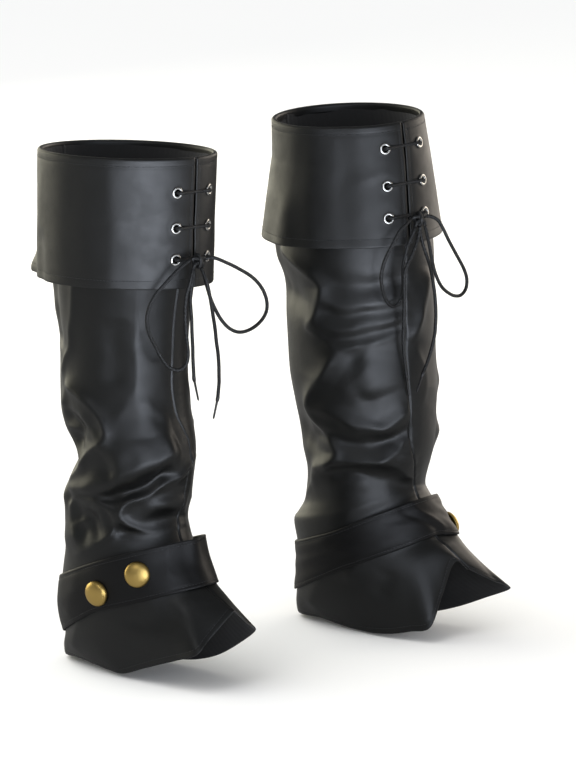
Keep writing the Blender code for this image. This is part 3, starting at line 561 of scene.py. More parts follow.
def islands(points, same=lambda edge: True):
    """Points parted into the groups that edges join."""
    left = set(points)
    while left:
        group = {next(iter(left))}
        front = group
        while front:
            front = {e.other_vert(p) for p in front for e in p.link_edges if same(e)} - group
            group |= front
        left -= group
        yield group


def in_order(row, key):
    """A row's points from its foremost one along its edges."""
    ends = [p for p in row if len(neighbours([p]) & row) == 1]
    here = max(ends or row, key=lambda p: key(p)[1])
    ordered = [here]
    left = row - {here}
    while left:
        steps = list(neighbours([here]) & left)
        here = max(steps, key=lambda p: key(p)[0]) if not ends and len(ordered) == 1 else steps[0]
        ordered.append(here)
        left.discard(here)
    return ordered


def wall_grid(name, wall):
    """The outer face of a wall, in its boot's directions: rows from the top, columns from the front."""
    boot = name[-1]
    shape = bmesh.new()
    shape.from_mesh(frame["nodes"][name].data)
    bmesh.ops.remove_doubles(shape, verts=shape.verts, dist=SOLID_WELD * MM)
    thin = [f for f in shape.faces if min(e.calc_length() for e in f.edges) < EDGE_FACE * wall * MM]
    bmesh.ops.delete(shape, geom=thin, context="FACES")
    spot = {p: unplaced(boot, [p.co])[0] for p in shape.verts}
    layers = [g for g in islands(shape.verts) if len(g) > 1]
    outer = max(layers, key=lambda g: np.mean([np.hypot(spot[p][0], spot[p][1] - HEEL) for p in g]))
    rim = [p for p in outer if p.is_boundary]
    rims = [g for g in islands(rim, lambda e: e.is_boundary)]
    row = max(rims, key=lambda g: np.mean([spot[p][2] for p in g]))
    if len(rims) == 1:
        top = max(spot[p][2] for p in row)
        row = {p for p in row if spot[p][2] > top - TOP_BAND}
    rows = []
    seen = set()
    while row:
        seen |= row
        rows.append([spot[p] for p in in_order(row, spot.get)])
        row = neighbours(row) - seen
    shape.free()
    return np.array(rows)


PANELS = [(boot, word) for boot in "rl" for word in ("outer", "inner")]
leg_grids = {key: wall_grid("leg_%s_%s" % key[::-1], WALL) for key in PANELS}
strap_grids = {boot: wall_grid("strap_" + boot, STRAP_WALL) for boot in "rl"}
for key, grid in leg_grids.items():
    print(key, "rows x columns", grid.shape[:2])

# %% [markdown]
# ## Folds
#
# Worn faux leather does not wrinkle like cloth: it is stiff, so it buckles into a few long
# soft ridges with a sharper crest, and shallow troughs beside them. Each fold is a stroke
# on the unrolled leg, with a height, a half width, a crest (2 is round, 1 is sharp) and a
# route of (angle round the leg, height above the floor). The angle is 0 at the front and
# grows towards the outer side.
#
# The solids have the largest folds in a coarse form. Their table is kept here so that they
# can be taken away and all the folds laid on again, finer.

# %% Tables of the folds
COLUMNS = (0, 12, 24, 36, 50, 64, 78, 92, 107, 122, 137, 151, 166, 180)    # a panel's, degrees
SEAM = {                  # front seam: height, angle
    "r": ((90, 0), (145, 0), (162, -6), (180, -10), (196, -14), (215, -16), (237, -13), (262, -2),
          (300, 2), (360, 1), (397, 0)),
    "l": ((80, 0), (150, -4), (160, -7), (178, -13), (196, -18), (215, -21), (262, -22), (330, -23),
          (402, -20), (524, -14)),
}
ROW_PLACES = np.array((0, 1, 2, 3, 3.8, 4.4, 4.9, 5.4, 6, 6.5, 7, 7.5, 8, 8.5, 9, 9.5, 10, 10.45, 10.9, 11.4,
                       11.9, 12.5, 13.1, 14, 14.5, 15, 15.5, 16, 16.35, 16.7, 17))    # rings, down a leg
FOLDS = {                 # the folds that the solids have: height, half width, route of (angle, up)
    "r": (
        (7.0, 12.0, ((142, 174), (110, 188), (80, 201), (43, 217), (8, 226))),
        (-6.5, 9.0, ((122, 182), (80, 190), (51, 199), (15, 208))),
        (7.0, 17.0, ((36, 178), (16, 180), (-8, 181))),
        (-4.0, 8.0, ((62, 190), (60, 172), (46, 153), (20, 146))),
        (-7.0, 17.0, ((150, 222), (132, 216))),
        (4.5, 10.0, ((130, 276), (104, 268), (82, 256))),
        (3.5, 10.0, ((82, 256), (100, 236), (116, 218))),
        (4.0, 13.0, ((138, 128), (108, 138), (82, 145))),
        (2.5, 16.0, ((40, 395), (37, 340), (36, 292))),
        (6.0, 13.0, ((-52, 212), (-95, 200), (-142, 178))),
        (-5.0, 10.0, ((-60, 192), (-100, 180), (-140, 160))),
        (3.5, 12.0, ((-92, 270), (-132, 246))),
    ),
    "l": (
        (3.5, 11.0, ((-108, 400), (-95, 358), (-128, 304))),
        (4.0, 15.0, ((-150, 396), (-150, 384))),
        (-6.0, 19.0, ((-132, 352), (-122, 350))),
        (3.5, 11.0, ((-84, 300), (-110, 250), (-90, 192), (-130, 158))),
        (-6.5, 18.0, ((-128, 206), (-120, 202))),
        (-2.5, 10.0, ((-88, 352), (-62, 351), (-34, 347))),
        (2.5, 10.0, ((-94, 330), (-62, 333), (-32, 330))),
        (-2.5, 9.0, ((-88, 312), (-62, 316), (-40, 312))),
        (4.0, 22.0, ((-72, 280), (-46, 276))),
        (-5.5, 10.0, ((-98, 236), (-72, 244), (-36, 238))),
        (3.5, 9.0, ((-100, 218), (-74, 226), (-38, 222))),
        (-4.0, 8.0, ((-100, 198), (-74, 204), (-34, 200))),
        (4.5, 10.0, ((-118, 177), (-80, 187), (-36, 184))),
        (3.5, 8.0, ((6, 380), (-4, 345), (-14, 306))),
        (5.0, 13.0, ((30, 250), (75, 262), (120, 280))),
        (-4.5, 11.0, ((40, 224), (85, 236), (130, 254))),
        (5.0, 12.0, ((25, 205), (80, 196), (135, 180))),
    ),
}
CREASES = {               # the worn folds, drawn finer: height, half width, crest, route
    "r": (
        # long diagonal ridge, the valley under it, and the pillow with its raised rim
        (4.0, 11.0, 1.8, ((142, 174), (110, 184), (80, 196), (54, 208), (28, 220), (0, 232))),
        (5.5, 22.0, 2.0, ((76, 216), (56, 225), (32, 232), (4, 238))),
        (-6.5, 7.5, 2.0, ((130, 176), (90, 182), (56, 188), (32, 199), (8, 213))),
        (3.4, 9.0, 2.0, ((40, 176), (12, 175), (-22, 174))),
        (3.8, 4.4, 1.45, ((-30, 222), (-6, 209), (12, 200), (30, 191), (44, 185), (55, 179), (58, 169),
                          (50, 158), (34, 151), (6, 149), (-24, 154))),
        (-3.0, 7.0, 2.0, ((70, 186), (68, 168), (56, 147), (18, 137))),
        # pushed-in back of the calf
        (-7.0, 17.0, 2.0, ((150, 222), (132, 216))),
        (4.5, 10.0, 1.6, ((130, 276), (104, 268), (82, 256))),
        (3.5, 10.0, 1.6, ((82, 256), (100, 236), (116, 218))),
        (4.6, 6.5, 1.3, ((116, 294), (84, 278), (70, 258), (79, 239), (102, 219), (130, 190))),
        (-9.0, 13.0, 2.0, ((122, 270), (98, 251), (117, 229))),
        # ankle
        (4.0, 13.0, 1.8, ((138, 128), (108, 138), (82, 145))),
        (4.8, 6.0, 1.35, ((122, 177), (84, 180), (68, 173), (62, 160), (72, 143), (112, 117))),
        (-8.5, 13.0, 2.0, ((116, 163), (88, 157), (108, 137))),
        # long upright bends above
        (2.5, 16.0, 1.8, ((40, 420), (37, 340), (36, 300), (34, 246))),
        (1.2, 6.0, 1.1, ((40, 425), (38, 345), (38, 276))),
        (-2.0, 13.0, 2.0, ((58, 366), (57, 330), (62, 290))),
        (2.6, 6.0, 1.3, ((90, 425), (94, 386), (96, 366), (101, 350), (108, 325), (128, 298))),
        (-5.0, 14.0, 2.0, ((128, 420), (128, 370), (134, 325))),
        (0.9, 9.0, 1.6, ((38, 292), (58, 262), (70, 246))),
        (0.8, 8.0, 1.6, ((36, 290), (14, 262), (2, 246))),
        # inner side
        (6.0, 13.0, 1.8, ((-52, 212), (-95, 200), (-142, 178))),
        (-5.0, 10.0, 2.0, ((-60, 192), (-100, 180), (-140, 160))),
        (3.5, 12.0, 1.8, ((-92, 270), (-132, 246))),
        (1.6, 5.0, 1.3, ((-40, 250), (-80, 238), (-130, 222))),
        (1.4, 5.0, 1.3, ((-30, 176), (-62, 168), (-80, 156), (-128, 146))),
        (1.2, 7.0, 1.4, ((-60, 392), (-72, 340), (-62, 290), (-84, 262))),
        (-1.5, 11.0, 2.0, ((-104, 350), (-112, 300))),
        (0.9, 6.0, 1.4, ((-24, 300), (-44, 270), (-52, 240))),
    ),
    "l": (
        # the zigzag down the inner side, and the hollows behind it
        (3.5, 10.0, 1.5, ((-134, 398), (-110, 383), (-92, 366), (-92, 352), (-100, 328), (-108, 314))),
        (1.5, 4.5, 1.2, ((-134, 398), (-110, 383), (-92, 366), (-90, 354), (-98, 328), (-106, 316))),
        (1.2, 5.0, 1.3, ((-104, 317), (-88, 306), (-78, 298))),
        (3.5, 10.0, 1.5, ((-80, 299), (-90, 276), (-108, 248), (-108, 228), (-92, 200), (-92, 183),
                          (-128, 155))),
        (1.5, 4.5, 1.2, ((-78, 299), (-88, 276), (-107, 248), (-110, 230), (-98, 209), (-86, 194), (-90, 183),
                         (-122, 153), (-146, 130))),
        (4.0, 15.0, 2.0, ((-150, 396), (-150, 384))),
        (-6.0, 19.0, 2.0, ((-132, 352), (-122, 350))),
        (-6.5, 18.0, 2.0, ((-128, 206), (-120, 202))),
        # bands across the calf
        (-2.4, 10.0, 2.0, ((-98, 374), (-72, 366), (-46, 366), (-16, 374))),
        (1.3, 8.0, 1.8, ((-98, 350), (-72, 344), (-46, 346), (-16, 354))),
        (-1.4, 7.0, 2.0, ((-104, 342), (-76, 335), (-48, 338), (-20, 342))),
        (1.6, 8.0, 1.8, ((-108, 322), (-76, 320), (-48, 325), (-18, 334))),
        (-1.6, 6.5, 2.0, ((-100, 308), (-72, 312), (-46, 318), (-22, 326))),
        (1.2, 4.5, 1.3, ((-78, 300), (-60, 304), (-44, 309), (-22, 320))),
        # the big bulge, and the smile-shaped ridge under it
        (3.6, 24.0, 2.0, ((-70, 284), (-54, 272), (-46, 252))),
        (-1.3, 8.0, 2.0, ((-62, 306), (-64, 280), (-62, 256), (-48, 242))),
        (3.4, 8.0, 1.7, ((-118, 242), (-86, 231), (-64, 221), (-44, 219), (-20, 240))),
        (-4.2, 8.0, 2.0, ((-116, 214), (-80, 204), (-46, 204), (-18, 220))),
        (3.6, 6.5, 1.5, ((-124, 168), (-90, 182), (-62, 185), (-36, 184))),
        (2.6, 10.0, 1.8, ((-56, 186), (-32, 184), (-8, 178))),
        (1.5, 4.0, 1.25, ((-66, 184), (-42, 188), (-30, 198), (-24, 214))),
        (1.3, 4.0, 1.25, ((-52, 184), (-28, 174), (-4, 156))),
        (-2.6, 7.5, 2.0, ((-96, 170), (-60, 170), (-34, 162), (-10, 146))),
        # outer side
        (3.5, 8.0, 1.5, ((6, 380), (-4, 345), (-14, 306))),
        (1.2, 4.0, 1.2, ((8, 380), (0, 350), (-9, 325), (-17, 304))),
        (0.9, 5.0, 1.3, ((-16, 300), (-4, 284), (0, 262), (-8, 236))),
        (5.0, 13.0, 1.7, ((30, 250), (75, 262), (120, 280))),
        (-4.5, 11.0, 2.0, ((40, 224), (85, 236), (130, 254))),
        (5.0, 12.0, 1.7, ((25, 205), (80, 196), (135, 180))),
        (1.3, 5.0, 1.3, ((34, 168), (70, 162), (92, 150), (124, 142))),
        (1.2, 7.0, 1.4, ((60, 396), (74, 350), (64, 300), (88, 280))),
        (-1.5, 11.0, 2.0, ((104, 350), (112, 310))),
    ),
}
FOOT_CREASES = {          # where the strap presses the cloth, on the foot
    "r": ((2.0, 6.0, 1.4, ((20, 100), (44, 92), (62, 78))),
          (-1.6, 9.0, 2.0, ((40, 74), (64, 62))),
          (1.5, 8.0, 1.6, ((-40, 96), (-66, 76), (-96, 52))),
          (1.0, 7.0, 1.6, ((110, 52), (126, 24)))),
    "l": ((2.0, 7.0, 1.5, ((-70, 84), (-84, 66), (-88, 50))),
          (-1.6, 9.0, 2.0, ((-58, 66), (-66, 50))),
          (1.5, 8.0, 1.6, ((40, 96), (66, 76), (96, 52))),
          (1.0, 7.0, 1.6, ((-112, 52), (-128, 24)))),
}
print("folds", {boot: len(table) for boot, table in CREASES.items()})

# %% [markdown]
# ### From strokes to relief
#
# A stroke's height falls off across it like a bell. A real fold fades out at its ends, and
# it is never quite even, so a long stroke tapers, spreads at its ends and varies along its
# way. Between the folds the coat puckers finely: ridged noise draws that, strongest where
# the leg is pushed together above the ankle.

# %% Relief of the folds
REACH = 64.0             # mean radius of the leg tubes
ROUND_CREST = 2.0
FADE = 16.0              # a fold's ends taper over this length
FADE_RUN = 2.5           # folds shorter than this many fades keep their ends
FADE_LEAD = 0.25         # share of the fade that lies beyond the end
SPREAD = 0.4             # a fold is wider by this share at its ends
UNEVEN = 0.12            # share by which a fold's height and width vary along it
UNEVEN_WAVES = (7.0, 13.0)       # lengths of the two waves that do that
UNEVEN_PHASE = 5.0       # no two widths of fold vary alike
ROUTE_PARTS = 4          # a route is read this much finer before it is drawn
NOISE_TABLE = 64
PUCKER = 0.32            # height of the fine puckers
PUCKER_BEND = (9.0, 45.0)        # puckers wander by this much over this length
PUCKER_SIZES = ((52.0, 24.0, 0.35), (24.0, 12.0, -0.3))    # round the leg, up it, slope
PUCKER_SMALL = 0.25      # height of the small ones, beside the large ones
PUCKER_PATCH = 40.0      # size of the patches with more or fewer of them
PUCKER_ZONE = (225.0, 93.0)      # height of the middle of the pushed-in cloth, and its reach
PUCKER_QUIET = 0.25      # share of them that is left elsewhere
QUIET_RINGS = (11.8, 2.2)        # folds fade from this ring, above the strap, over so many
QUIET_TOP = (483.0, 60.0)        # and up to this height, under the cuff, over so much


def ease(value):
    value = np.clip(value, 0, 1)
    return value * value * (3 - 2 * value)


def stroke_relief(strokes, angle, up, reach=REACH, fade=0.0):
    """Height of all the strokes at places of the unrolled cloth; fade is how long their ends taper."""
    total = np.zeros_like(angle)
    around = radians(1) * reach
    short, long = UNEVEN_WAVES
    for height, half, *crest, route in strokes:
        if fade and len(route) > 2:
            last = len(route) - 1
            route = catmull(route, np.linspace(0, last, ROUTE_PARTS * last + 1))
        nearest = np.full_like(angle, 1e9)
        along = np.zeros_like(angle)
        run = 0.0
        for (a0, u0), (a1, u1) in zip(route, route[1:]):
            step = np.array([(a1 - a0) * around, u1 - u0])
            x, y = (angle - a0) * around, up - u0
            share = np.clip((x * step[0] + y * step[1]) / max(step @ step, 1e-9), 0, 1)
            far = np.hypot(x - share * step[0], y - share * step[1])
            along = np.where(far < nearest, run + share * np.hypot(*step), along)
            nearest = np.minimum(nearest, far)
            run += np.hypot(*step)
        strength, width = height, half
        if run > FADE_RUN * fade > 0:
            to_end = np.minimum(along, run - along)
            taper = ease((to_end + FADE_LEAD * fade) / ((1 + FADE_LEAD) * fade))
            uneven = UNEVEN * np.sin(along / short + UNEVEN_PHASE * half) * np.sin(along / long + half)
            strength = height * taper * (1 + uneven)
            width = half * (1 + SPREAD * (1 - taper)) * (1 - uneven)
        total += strength * np.exp(-(nearest / width) ** (crest[0] if crest else ROUND_CREST))
    return total


def value_noise(x, y, seed):
    """Smooth noise from -1 to 1 with features one unit across."""
    table = np.random.default_rng(seed).uniform(-1, 1, (NOISE_TABLE, NOISE_TABLE))
    i, j = np.floor(x).astype(int), np.floor(y).astype(int)
    f, g = x - i, y - j
    f, g = f * f * f * (f * (6 * f - 15) + 10), g * g * g * (g * (6 * g - 15) + 10)

    def at(p, q):
        return table[p % NOISE_TABLE, q % NOISE_TABLE]

    low = at(i, j) * (1 - f) + at(i + 1, j) * f
    high = at(i, j + 1) * (1 - f) + at(i + 1, j + 1) * f
    return low * (1 - g) + high * g


def ridged(x, y, seed):
    return 1 - 2 * np.abs(value_noise(x, y, seed))


def puckers(angle, up, seed):
    """Fine ridges that wander, longer round the leg than up it."""
    x = angle * radians(1) * REACH
    shift, over = PUCKER_BEND
    bend = shift * value_noise(x / over, up / over, seed)
    (long, tall, slope), (short, low, back) = PUCKER_SIZES
    ridge = ridged((x + bend) / long, (up + bend + slope * x) / tall, seed + 1)
    small = ridged((x - bend) / short, (up + back * x) / low, seed + 2)
    patch = 0.5 + 0.5 * value_noise(x / PUCKER_PATCH, up / PUCKER_PATCH, seed + 3)
    middle, reach = PUCKER_ZONE
    zone = PUCKER_QUIET + (1 - PUCKER_QUIET) * np.exp(-(((up - middle) / reach) ** 4))
    return zone * patch * (ridge + PUCKER_SMALL * small)


def fold_share(up, place):
    """Where folds may be: they fade out above the strap and under the cuff."""
    ring, rings = QUIET_RINGS
    top, over = QUIET_TOP
    return (1 - ease((place - ring) / rings)) * ease((top - up) / over)


test_up = np.linspace(90, 480, 5)
print("relief down the right leg, mm:", np.round(stroke_relief(CREASES["r"], test_up * 0 + 40, test_up), 2))

# %% [markdown]
# ## Cloth with a wall
#
# A finer grid is read through the coarse one with smooth curves, closer together near the
# edges, where faux leather is turned in and stitched. The relief moves the outer face along
# its normals, the inner face follows at the cloth's thickness, and both are closed round
# the edges. The face inside gets its own material, the knitted back.

# %% Fine walls
EDGE_STEPS = (0.0, 0.35, 0.8, 1.4, 2.2, 3.4, 4.8)    # mm from an edge
PLACE_STEPS = 40         # points read for each point of a line, to measure along it
LENGTH_STEPS = 20        # and to measure all of it
EDGE_ROUND = 0.75        # reach of an edge's rounding
EDGE_TURN_IN = 0.25      # share of the wall by which an edge turns in
EDGE_THIN = 0.55         # share by which the wall is thinner there
JOIN = 2                 # columns of a ring repeated beyond its join, to read across it


def stations(length, step, closed=False):
    """Distances along a length: even in the middle, closer together at both ends."""
    if closed:
        return np.linspace(0, length, int(round(length / step)) + 1)[:-1]
    near = np.array(EDGE_STEPS)
    middle = np.linspace(near[-1], length - near[-1], int(round((length - 2 * near[-1]) / step)) + 1)
    return np.concatenate([near[:-1], middle, length - near[:-1][::-1]])


def places_along(line, distances):
    """Turns distances along a coarse line into places counted in its points."""
    fine = np.linspace(0, len(line) - 1, PLACE_STEPS * len(line))
    run = run_along(catmull(line, fine))
    return np.interp(np.asarray(distances) * run[-1] / max(distances[-1], 1e-9), run, fine)


def length_of(line):
    return run_length(catmull(line, np.linspace(0, len(line) - 1, LENGTH_STEPS * len(line))))


def fine_sheet(grid, row_places, column_places):
    down = catmull(grid, row_places)
    return np.swapaxes(catmull(np.swapaxes(down, 0, 1), column_places), 0, 1)


def sheet_normals(sheet, closed=False):
    """Outward normals of a grid of points round a boot's leg."""
    if closed:
        wide = np.concatenate([sheet[:, -JOIN:], sheet, sheet[:, :JOIN]], 1)
        across = np.gradient(wide, axis=1)[:, JOIN:-JOIN]
    else:
        across = np.gradient(sheet, axis=1)
    normal = unit(np.cross(across, np.gradient(sheet, axis=0)))
    away = sheet - np.array([0.0, HEEL, 0.0])
    away[..., 2] = 0
    flip = np.sign((normal * away).sum(-1).mean())
    return normal * flip


def run_across(sheet):
    """Distance along each row, from its first point."""
    steps = np.linalg.norm(np.diff(sheet, axis=1), axis=2)
    return np.concatenate([np.zeros((len(sheet), 1)), np.cumsum(steps, 1)], 1)


def run_down(sheet):
    return run_across(np.swapaxes(sheet, 0, 1)).T


def edge_gap(sheet, closed=False):
    """Distance of each point from the nearest edge of its sheet."""
    down = run_down(sheet)
    gap = np.minimum(down, down[-1:] - down)
    if not closed:
        across = run_across(sheet)
        gap = np.minimum(gap, np.minimum(across, across[:, -1:] - across))
    return gap


def close_wall(name, boot, outer, normals, thickness, closed=False):
    """A closed wall from its outer face; its edges are rounded over, and it has a UV in metres."""
    rows, columns = outer.shape[:2]
    soft = np.exp(-((edge_gap(outer, closed) / EDGE_ROUND) ** 2))
    thick = np.broadcast_to(thickness, outer.shape[:2])
    face = outer - normals * (EDGE_TURN_IN * soft * thick)[..., None]
    back = face - normals * (thick * (1 - EDGE_THIN * soft))[..., None]
    uv = np.stack([run_across(outer), run_down(outer)], -1).reshape(-1, 2) * MM
    shift = rows * columns
    faces = [*grid_faces(rows, columns, 0, closed), *grid_faces(rows, columns, shift, closed)[:, ::-1]]
    inside = len(faces) // 2
    grid = np.arange(shift).reshape(rows, columns)
    borders = [np.append(line, line[0]) if closed else line for line in (grid[0], grid[-1])]
    borders += [] if closed else [grid[:, 0], grid[:, -1]]
    for line in borders:
        faces += [[a, b, b + shift, a + shift] for a, b in zip(line, line[1:])]
    shown = np.repeat([0, 1, 2], [inside, inside, len(faces) - 2 * inside])
    points = placed(boot, np.concatenate([face.reshape(-1, 3), back.reshape(-1, 3)]))
    obj = new_piece(name, points, faces, np.concatenate([uv, uv]))
    obj.data.polygons.foreach_set("material_index", shown)
    return mended(obj)


def flat_sizes(sheet):
    """Width, length and area of a sheet as it would lie flat, in metres."""
    across, down = run_across(sheet)[:, -1].max(), run_down(sheet)[-1].max()
    a, b = np.diff(sheet, axis=0)[:, :-1], np.diff(sheet, axis=1)[:-1]
    area = np.linalg.norm(np.cross(a, b), axis=2).sum()
    return across * MM, down * MM, area * MM * MM


# %% [markdown]
# ## The leg panels
#
# Each leg tube is cut as an outer and an inner panel, sewn together at the front and at the
# back. At a seam the cloth turns inwards, which leaves a narrow groove with a fine pucker
# where the thread pulls. The same panels spread over the foot and end in a pointed hem.

# %% Make the leg panels
LEG_STEP = 2.2           # spacing of the fine grid
LEG_SEEDS = {"r": 11, "l": 29}
WIDEST_ROW = 8           # of the solid's grid: it spaces the columns
UNFOLD_ROUNDS = 4
WANDER = (1.8, 18.0, 24.0)      # folds leave their routes by this, over so many degrees and mm
FOOT_FADE = 20.0         # the foot's creases fade over this length above the hem
HEM_QUIET = 30.0         # and the puckers over this one
SMOOTH_PUCKER = 0.3      # share of the puckers that is left where folds can't be
SEAM_GROOVE = (1.0, 1.3)  # depth, half width
SEAM_PULL = (0.25, 7.0, 7.5)    # height of the puckers at a seam, reach, spacing
PULL_SHIFT = (2.5, 17.0, 5)     # how unevenly they are spaced, over what length, seed
SEAM_LINE = 1.5          # half width of the seam itself, where nothing puckers
HEM_STITCH = 6.0         # the hem's stitch line, from the edge
STITCH_GROOVE = (0.35, 1.1)     # depth, half width


def groove(distance, size=STITCH_GROOVE):
    depth, half = size
    return -depth * np.exp(-((distance / half) ** 2))


def seam_angle(boot, up):
    heights, angles = zip(*SEAM[boot])
    return np.interp(up, heights, angles)


def angles_on(boot, side, up, columns):
    """Angle round the leg of a grid's points; the front seam draws the columns towards it."""
    column = np.interp(columns, np.arange(len(COLUMNS)), COLUMNS)
    return side * column[None] + seam_angle(boot, up) * (1 - column[None] / 180)


def without_folds(boot, side, grid):
    """The grid of a panel with the solid's folds taken away, which leaves a smooth tube."""
    plain = grid
    place = np.broadcast_to(ROW_PLACES[:, None], grid.shape[:2])
    for _ in range(UNFOLD_ROUNDS):
        up = plain[..., 2]
        angle = angles_on(boot, side, up, np.arange(grid.shape[1]))
        height = stroke_relief(FOLDS[boot], angle, up) * fold_share(up, place)
        plain = grid - sheet_normals(plain) * height[..., None]
    return plain


def make_panel(boot, word):
    side = 1.0 if word == "outer" else -1.0
    grid = without_folds(boot, side, leg_grids[boot, word])
    middle = grid[:, grid.shape[1] // 2]
    row_places = places_along(middle, stations(length_of(middle), LEG_STEP))
    widest = grid[WIDEST_ROW]
    column_places = places_along(widest, stations(length_of(widest), LEG_STEP))
    sheet = fine_sheet(grid, row_places, column_places)
    normals = sheet_normals(sheet)
    up = sheet[..., 2]
    angle = angles_on(boot, side, up, column_places)
    across, down = run_across(sheet), run_down(sheet)
    to_seam = np.minimum(across, across[:, -1:] - across)
    to_hem = down[-1:] - down
    place = np.interp(row_places, np.arange(len(ROW_PLACES)), ROW_PLACES)[:, None]
    share = fold_share(up, place)
    shift, degrees_over, up_over = WANDER
    drift = shift * value_noise(angle / degrees_over, up / up_over, LEG_SEEDS[boot])
    bent = (angle + np.degrees(drift / REACH), up + drift)
    relief = stroke_relief(CREASES[boot], *bent, fade=FADE) * share
    relief += stroke_relief(FOOT_CREASES[boot], *bent, fade=FADE) * ease(to_hem / FOOT_FADE)
    loose = SMOOTH_PUCKER + (1 - SMOOTH_PUCKER) * share
    fine = puckers(angle, up, LEG_SEEDS[boot])
    relief += PUCKER * fine * loose * np.clip(to_hem / HEM_QUIET, 0, 1)
    height, reach, spacing = SEAM_PULL
    shift, over, seed = PULL_SHIFT
    pull = np.sin(2 * pi * up / spacing + shift * value_noise(up / over, up * 0, seed))
    relief += height * pull * np.exp(-to_seam / reach) * (1 - np.exp(-to_seam / SEAM_LINE))
    relief += groove(to_seam, SEAM_GROOVE) + groove(to_hem - HEM_STITCH)
    outer = sheet + normals * relief[..., None]
    name = "leg_%s_%s" % (word, STANCE[boot]["word"])
    obj = close_wall(name, boot, outer, normals, WALL)
    width, length, area = flat_sizes(outer)
    stands_for(obj, "leg_cloth", "leg_%s_%s" % (word, boot))
    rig.sheet(obj, flat=(width, length), held="hung", area=min(area, width * length))
    print(name, len(obj.data.polygons), "faces, cut", round(width, 3), "x", round(length, 3), "m")
    return dict(piece=obj, outer=outer, normals=normals)


legs = {key: make_panel(*key) for key in PANELS}

# %% [markdown]
# ## The cuffs
#
# The cuff is the leg's top turned down over itself. Its rim is a soft roll, and its free edge
# and the two edges of the slit are folded in and topstitched. It is worked out as an
# oval that widens downwards, with a few lazy waves, and the laces dent it at each eyelet.

# %% Cuff shape
CUFFS = {                 # rows: up, front, middle, half width; waves as strokes
    "r": dict(rim=522.0, hem=393.0, tilt=(4.0, 75.0), slit=((393, 0), (522, 0)),
              rows=((393, 170.6, 81.0, 84.2), (455, 172.5, 82.6, 84.5), (522, 175.8, 85.0, 85.4)),
              wave=((9.0, 14.0, 2.0, ((167, 380), (167, 396))),
                    (8.5, 15.0, 2.0, ((167, 396), (167, 420))),
                    (-2.5, 12.0, 2.0, ((122, 385), (124, 430))))),
    "l": dict(rim=528.0, hem=407.0, tilt=(4.0, 60.0), slit=((407, -20), (528, -14)),
              rows=((407, 158.9, 64.7, 88.5), (454, 151.3, 63.8, 82.3),
                    (490, 145.4, 63.4, 77.1), (528, 138.0, 59.0, 74.2)),
              wave=((3.0, 14.0, 2.0, ((-110, 400), (-108, 440))),
                    (4.0, 14.0, 2.0, ((140, 400), (140, 440))))),
}
CUFF_CREASES = {
    "r": ((0.7, 10.0, 1.8, ((62, 510), (58, 450), (60, 400))),
          (-0.6, 12.0, 2.0, ((84, 505), (88, 450), (84, 396))),
          (0.5, 6.0, 1.6, ((20, 470), (40, 462))),
          (0.5, 5.0, 1.6, ((18, 436), (34, 440))),
          (0.6, 12.0, 1.8, ((-60, 500), (-66, 420))),
          (0.7, 14.0, 1.8, ((120, 500), (126, 430)))),
    "l": ((0.7, 11.0, 1.8, ((-70, 515), (-74, 460), (-70, 412))),
          (-3.6, 24.0, 2.0, ((-66, 545), (-68, 395))),
          (-0.6, 12.0, 2.0, ((-96, 510), (-100, 450), (-94, 412))),
          (0.5, 6.0, 1.6, ((-34, 480), (-52, 474))),
          (0.6, 12.0, 1.8, ((50, 500), (56, 430))),
          (0.6, 14.0, 1.8, ((120, 500), (126, 430)))),
}
CUFF_SLIT = 3.0
CUFF_REACH = 85.0        # mean radius of the cuffs


def cuff_row(boot, up):
    table = np.array(CUFFS[boot]["rows"])
    return [np.interp(up, table[:, 0], table[:, k]) for k in (1, 2, 3)]


def slit_angle(boot, up):
    heights, angles = zip(*CUFFS[boot]["slit"])
    return np.interp(up, heights, angles)


def cuff_point(boot, angle, up, out):
    """Points out from (or in from) the cuff's face; angle and up are arrays."""
    cuff = CUFFS[boot]
    front, middle, half = cuff_row(boot, up)
    turned = (angle + 180) % 360 - 180
    strokes = cuff["wave"] + CUFF_CREASES[boot]
    bulge = sum(stroke_relief(strokes, turned + round_it, up, CUFF_REACH) for round_it in (-360, 0, 360))
    c, s = np.cos(np.radians(angle)), np.sin(np.radians(angle))
    normal = unit(np.stack([s / half, c / (front - middle), 0 * s], -1))
    tilt, at = cuff["tilt"]
    lift = tilt * np.cos(np.radians(angle - at))
    base = np.stack([half * s, middle + (front - middle) * c, up + lift], -1)
    return base + normal * (out + bulge)[..., None], normal


print("cuff rims at", [CUFFS[b]["rim"] for b in "rl"], "mm")

# %% [markdown]
# ### Rim, holes and dents
#
# The cut line of the cuff runs up the wall, over the rim and a little way down inside, where
# the cloth is skived thin. The eyelets' own solids say where the holes are.

# %% Make the cuffs
CUFF_WALL = 1.6
CUFF_STEP = 2.4
RIM_ROLL = 2.8           # radius of the rolled rim
RIM_FLAP = 6.0           # the rolled cloth runs down inside by this
FLAP_WALL = 0.5
ROLL_POINTS, FLAP_POINTS = 11, 5
ON_WALL = -0.01          # rows further in than this belong to the roll
RIM_STITCH = 8.0         # stitch lines, from the rim and from each edge
CUFF_HEM_STITCH = 8.5
SLIT_STITCH = 4.5
CUFF_WAVES = (0.25, 30.0, 24.0, 3)      # height, size across and up, seed
WAVES_LEAD = 12.0        # they begin over this length above the hem
EYELETS = [(boot, word, k) for boot in "rl" for word in ("out", "in") for k in (1, 2, 3)]
BARREL = 2.3             # an eyelet's barrel reaches in from the cuff's face by this
DENT = (0.9, 8.0)        # depth and reach of the dent round an eyelet
DENT_SEAT = (5.6, 6)     # under the ring the cloth is level: radius, and how sharply it ends
HOLE_RADIUS = 3.9
PIN_REACH = (5.0, 4.0)   # a pin that cuts a hole reaches in and out by these
PIN_SIDES = 20


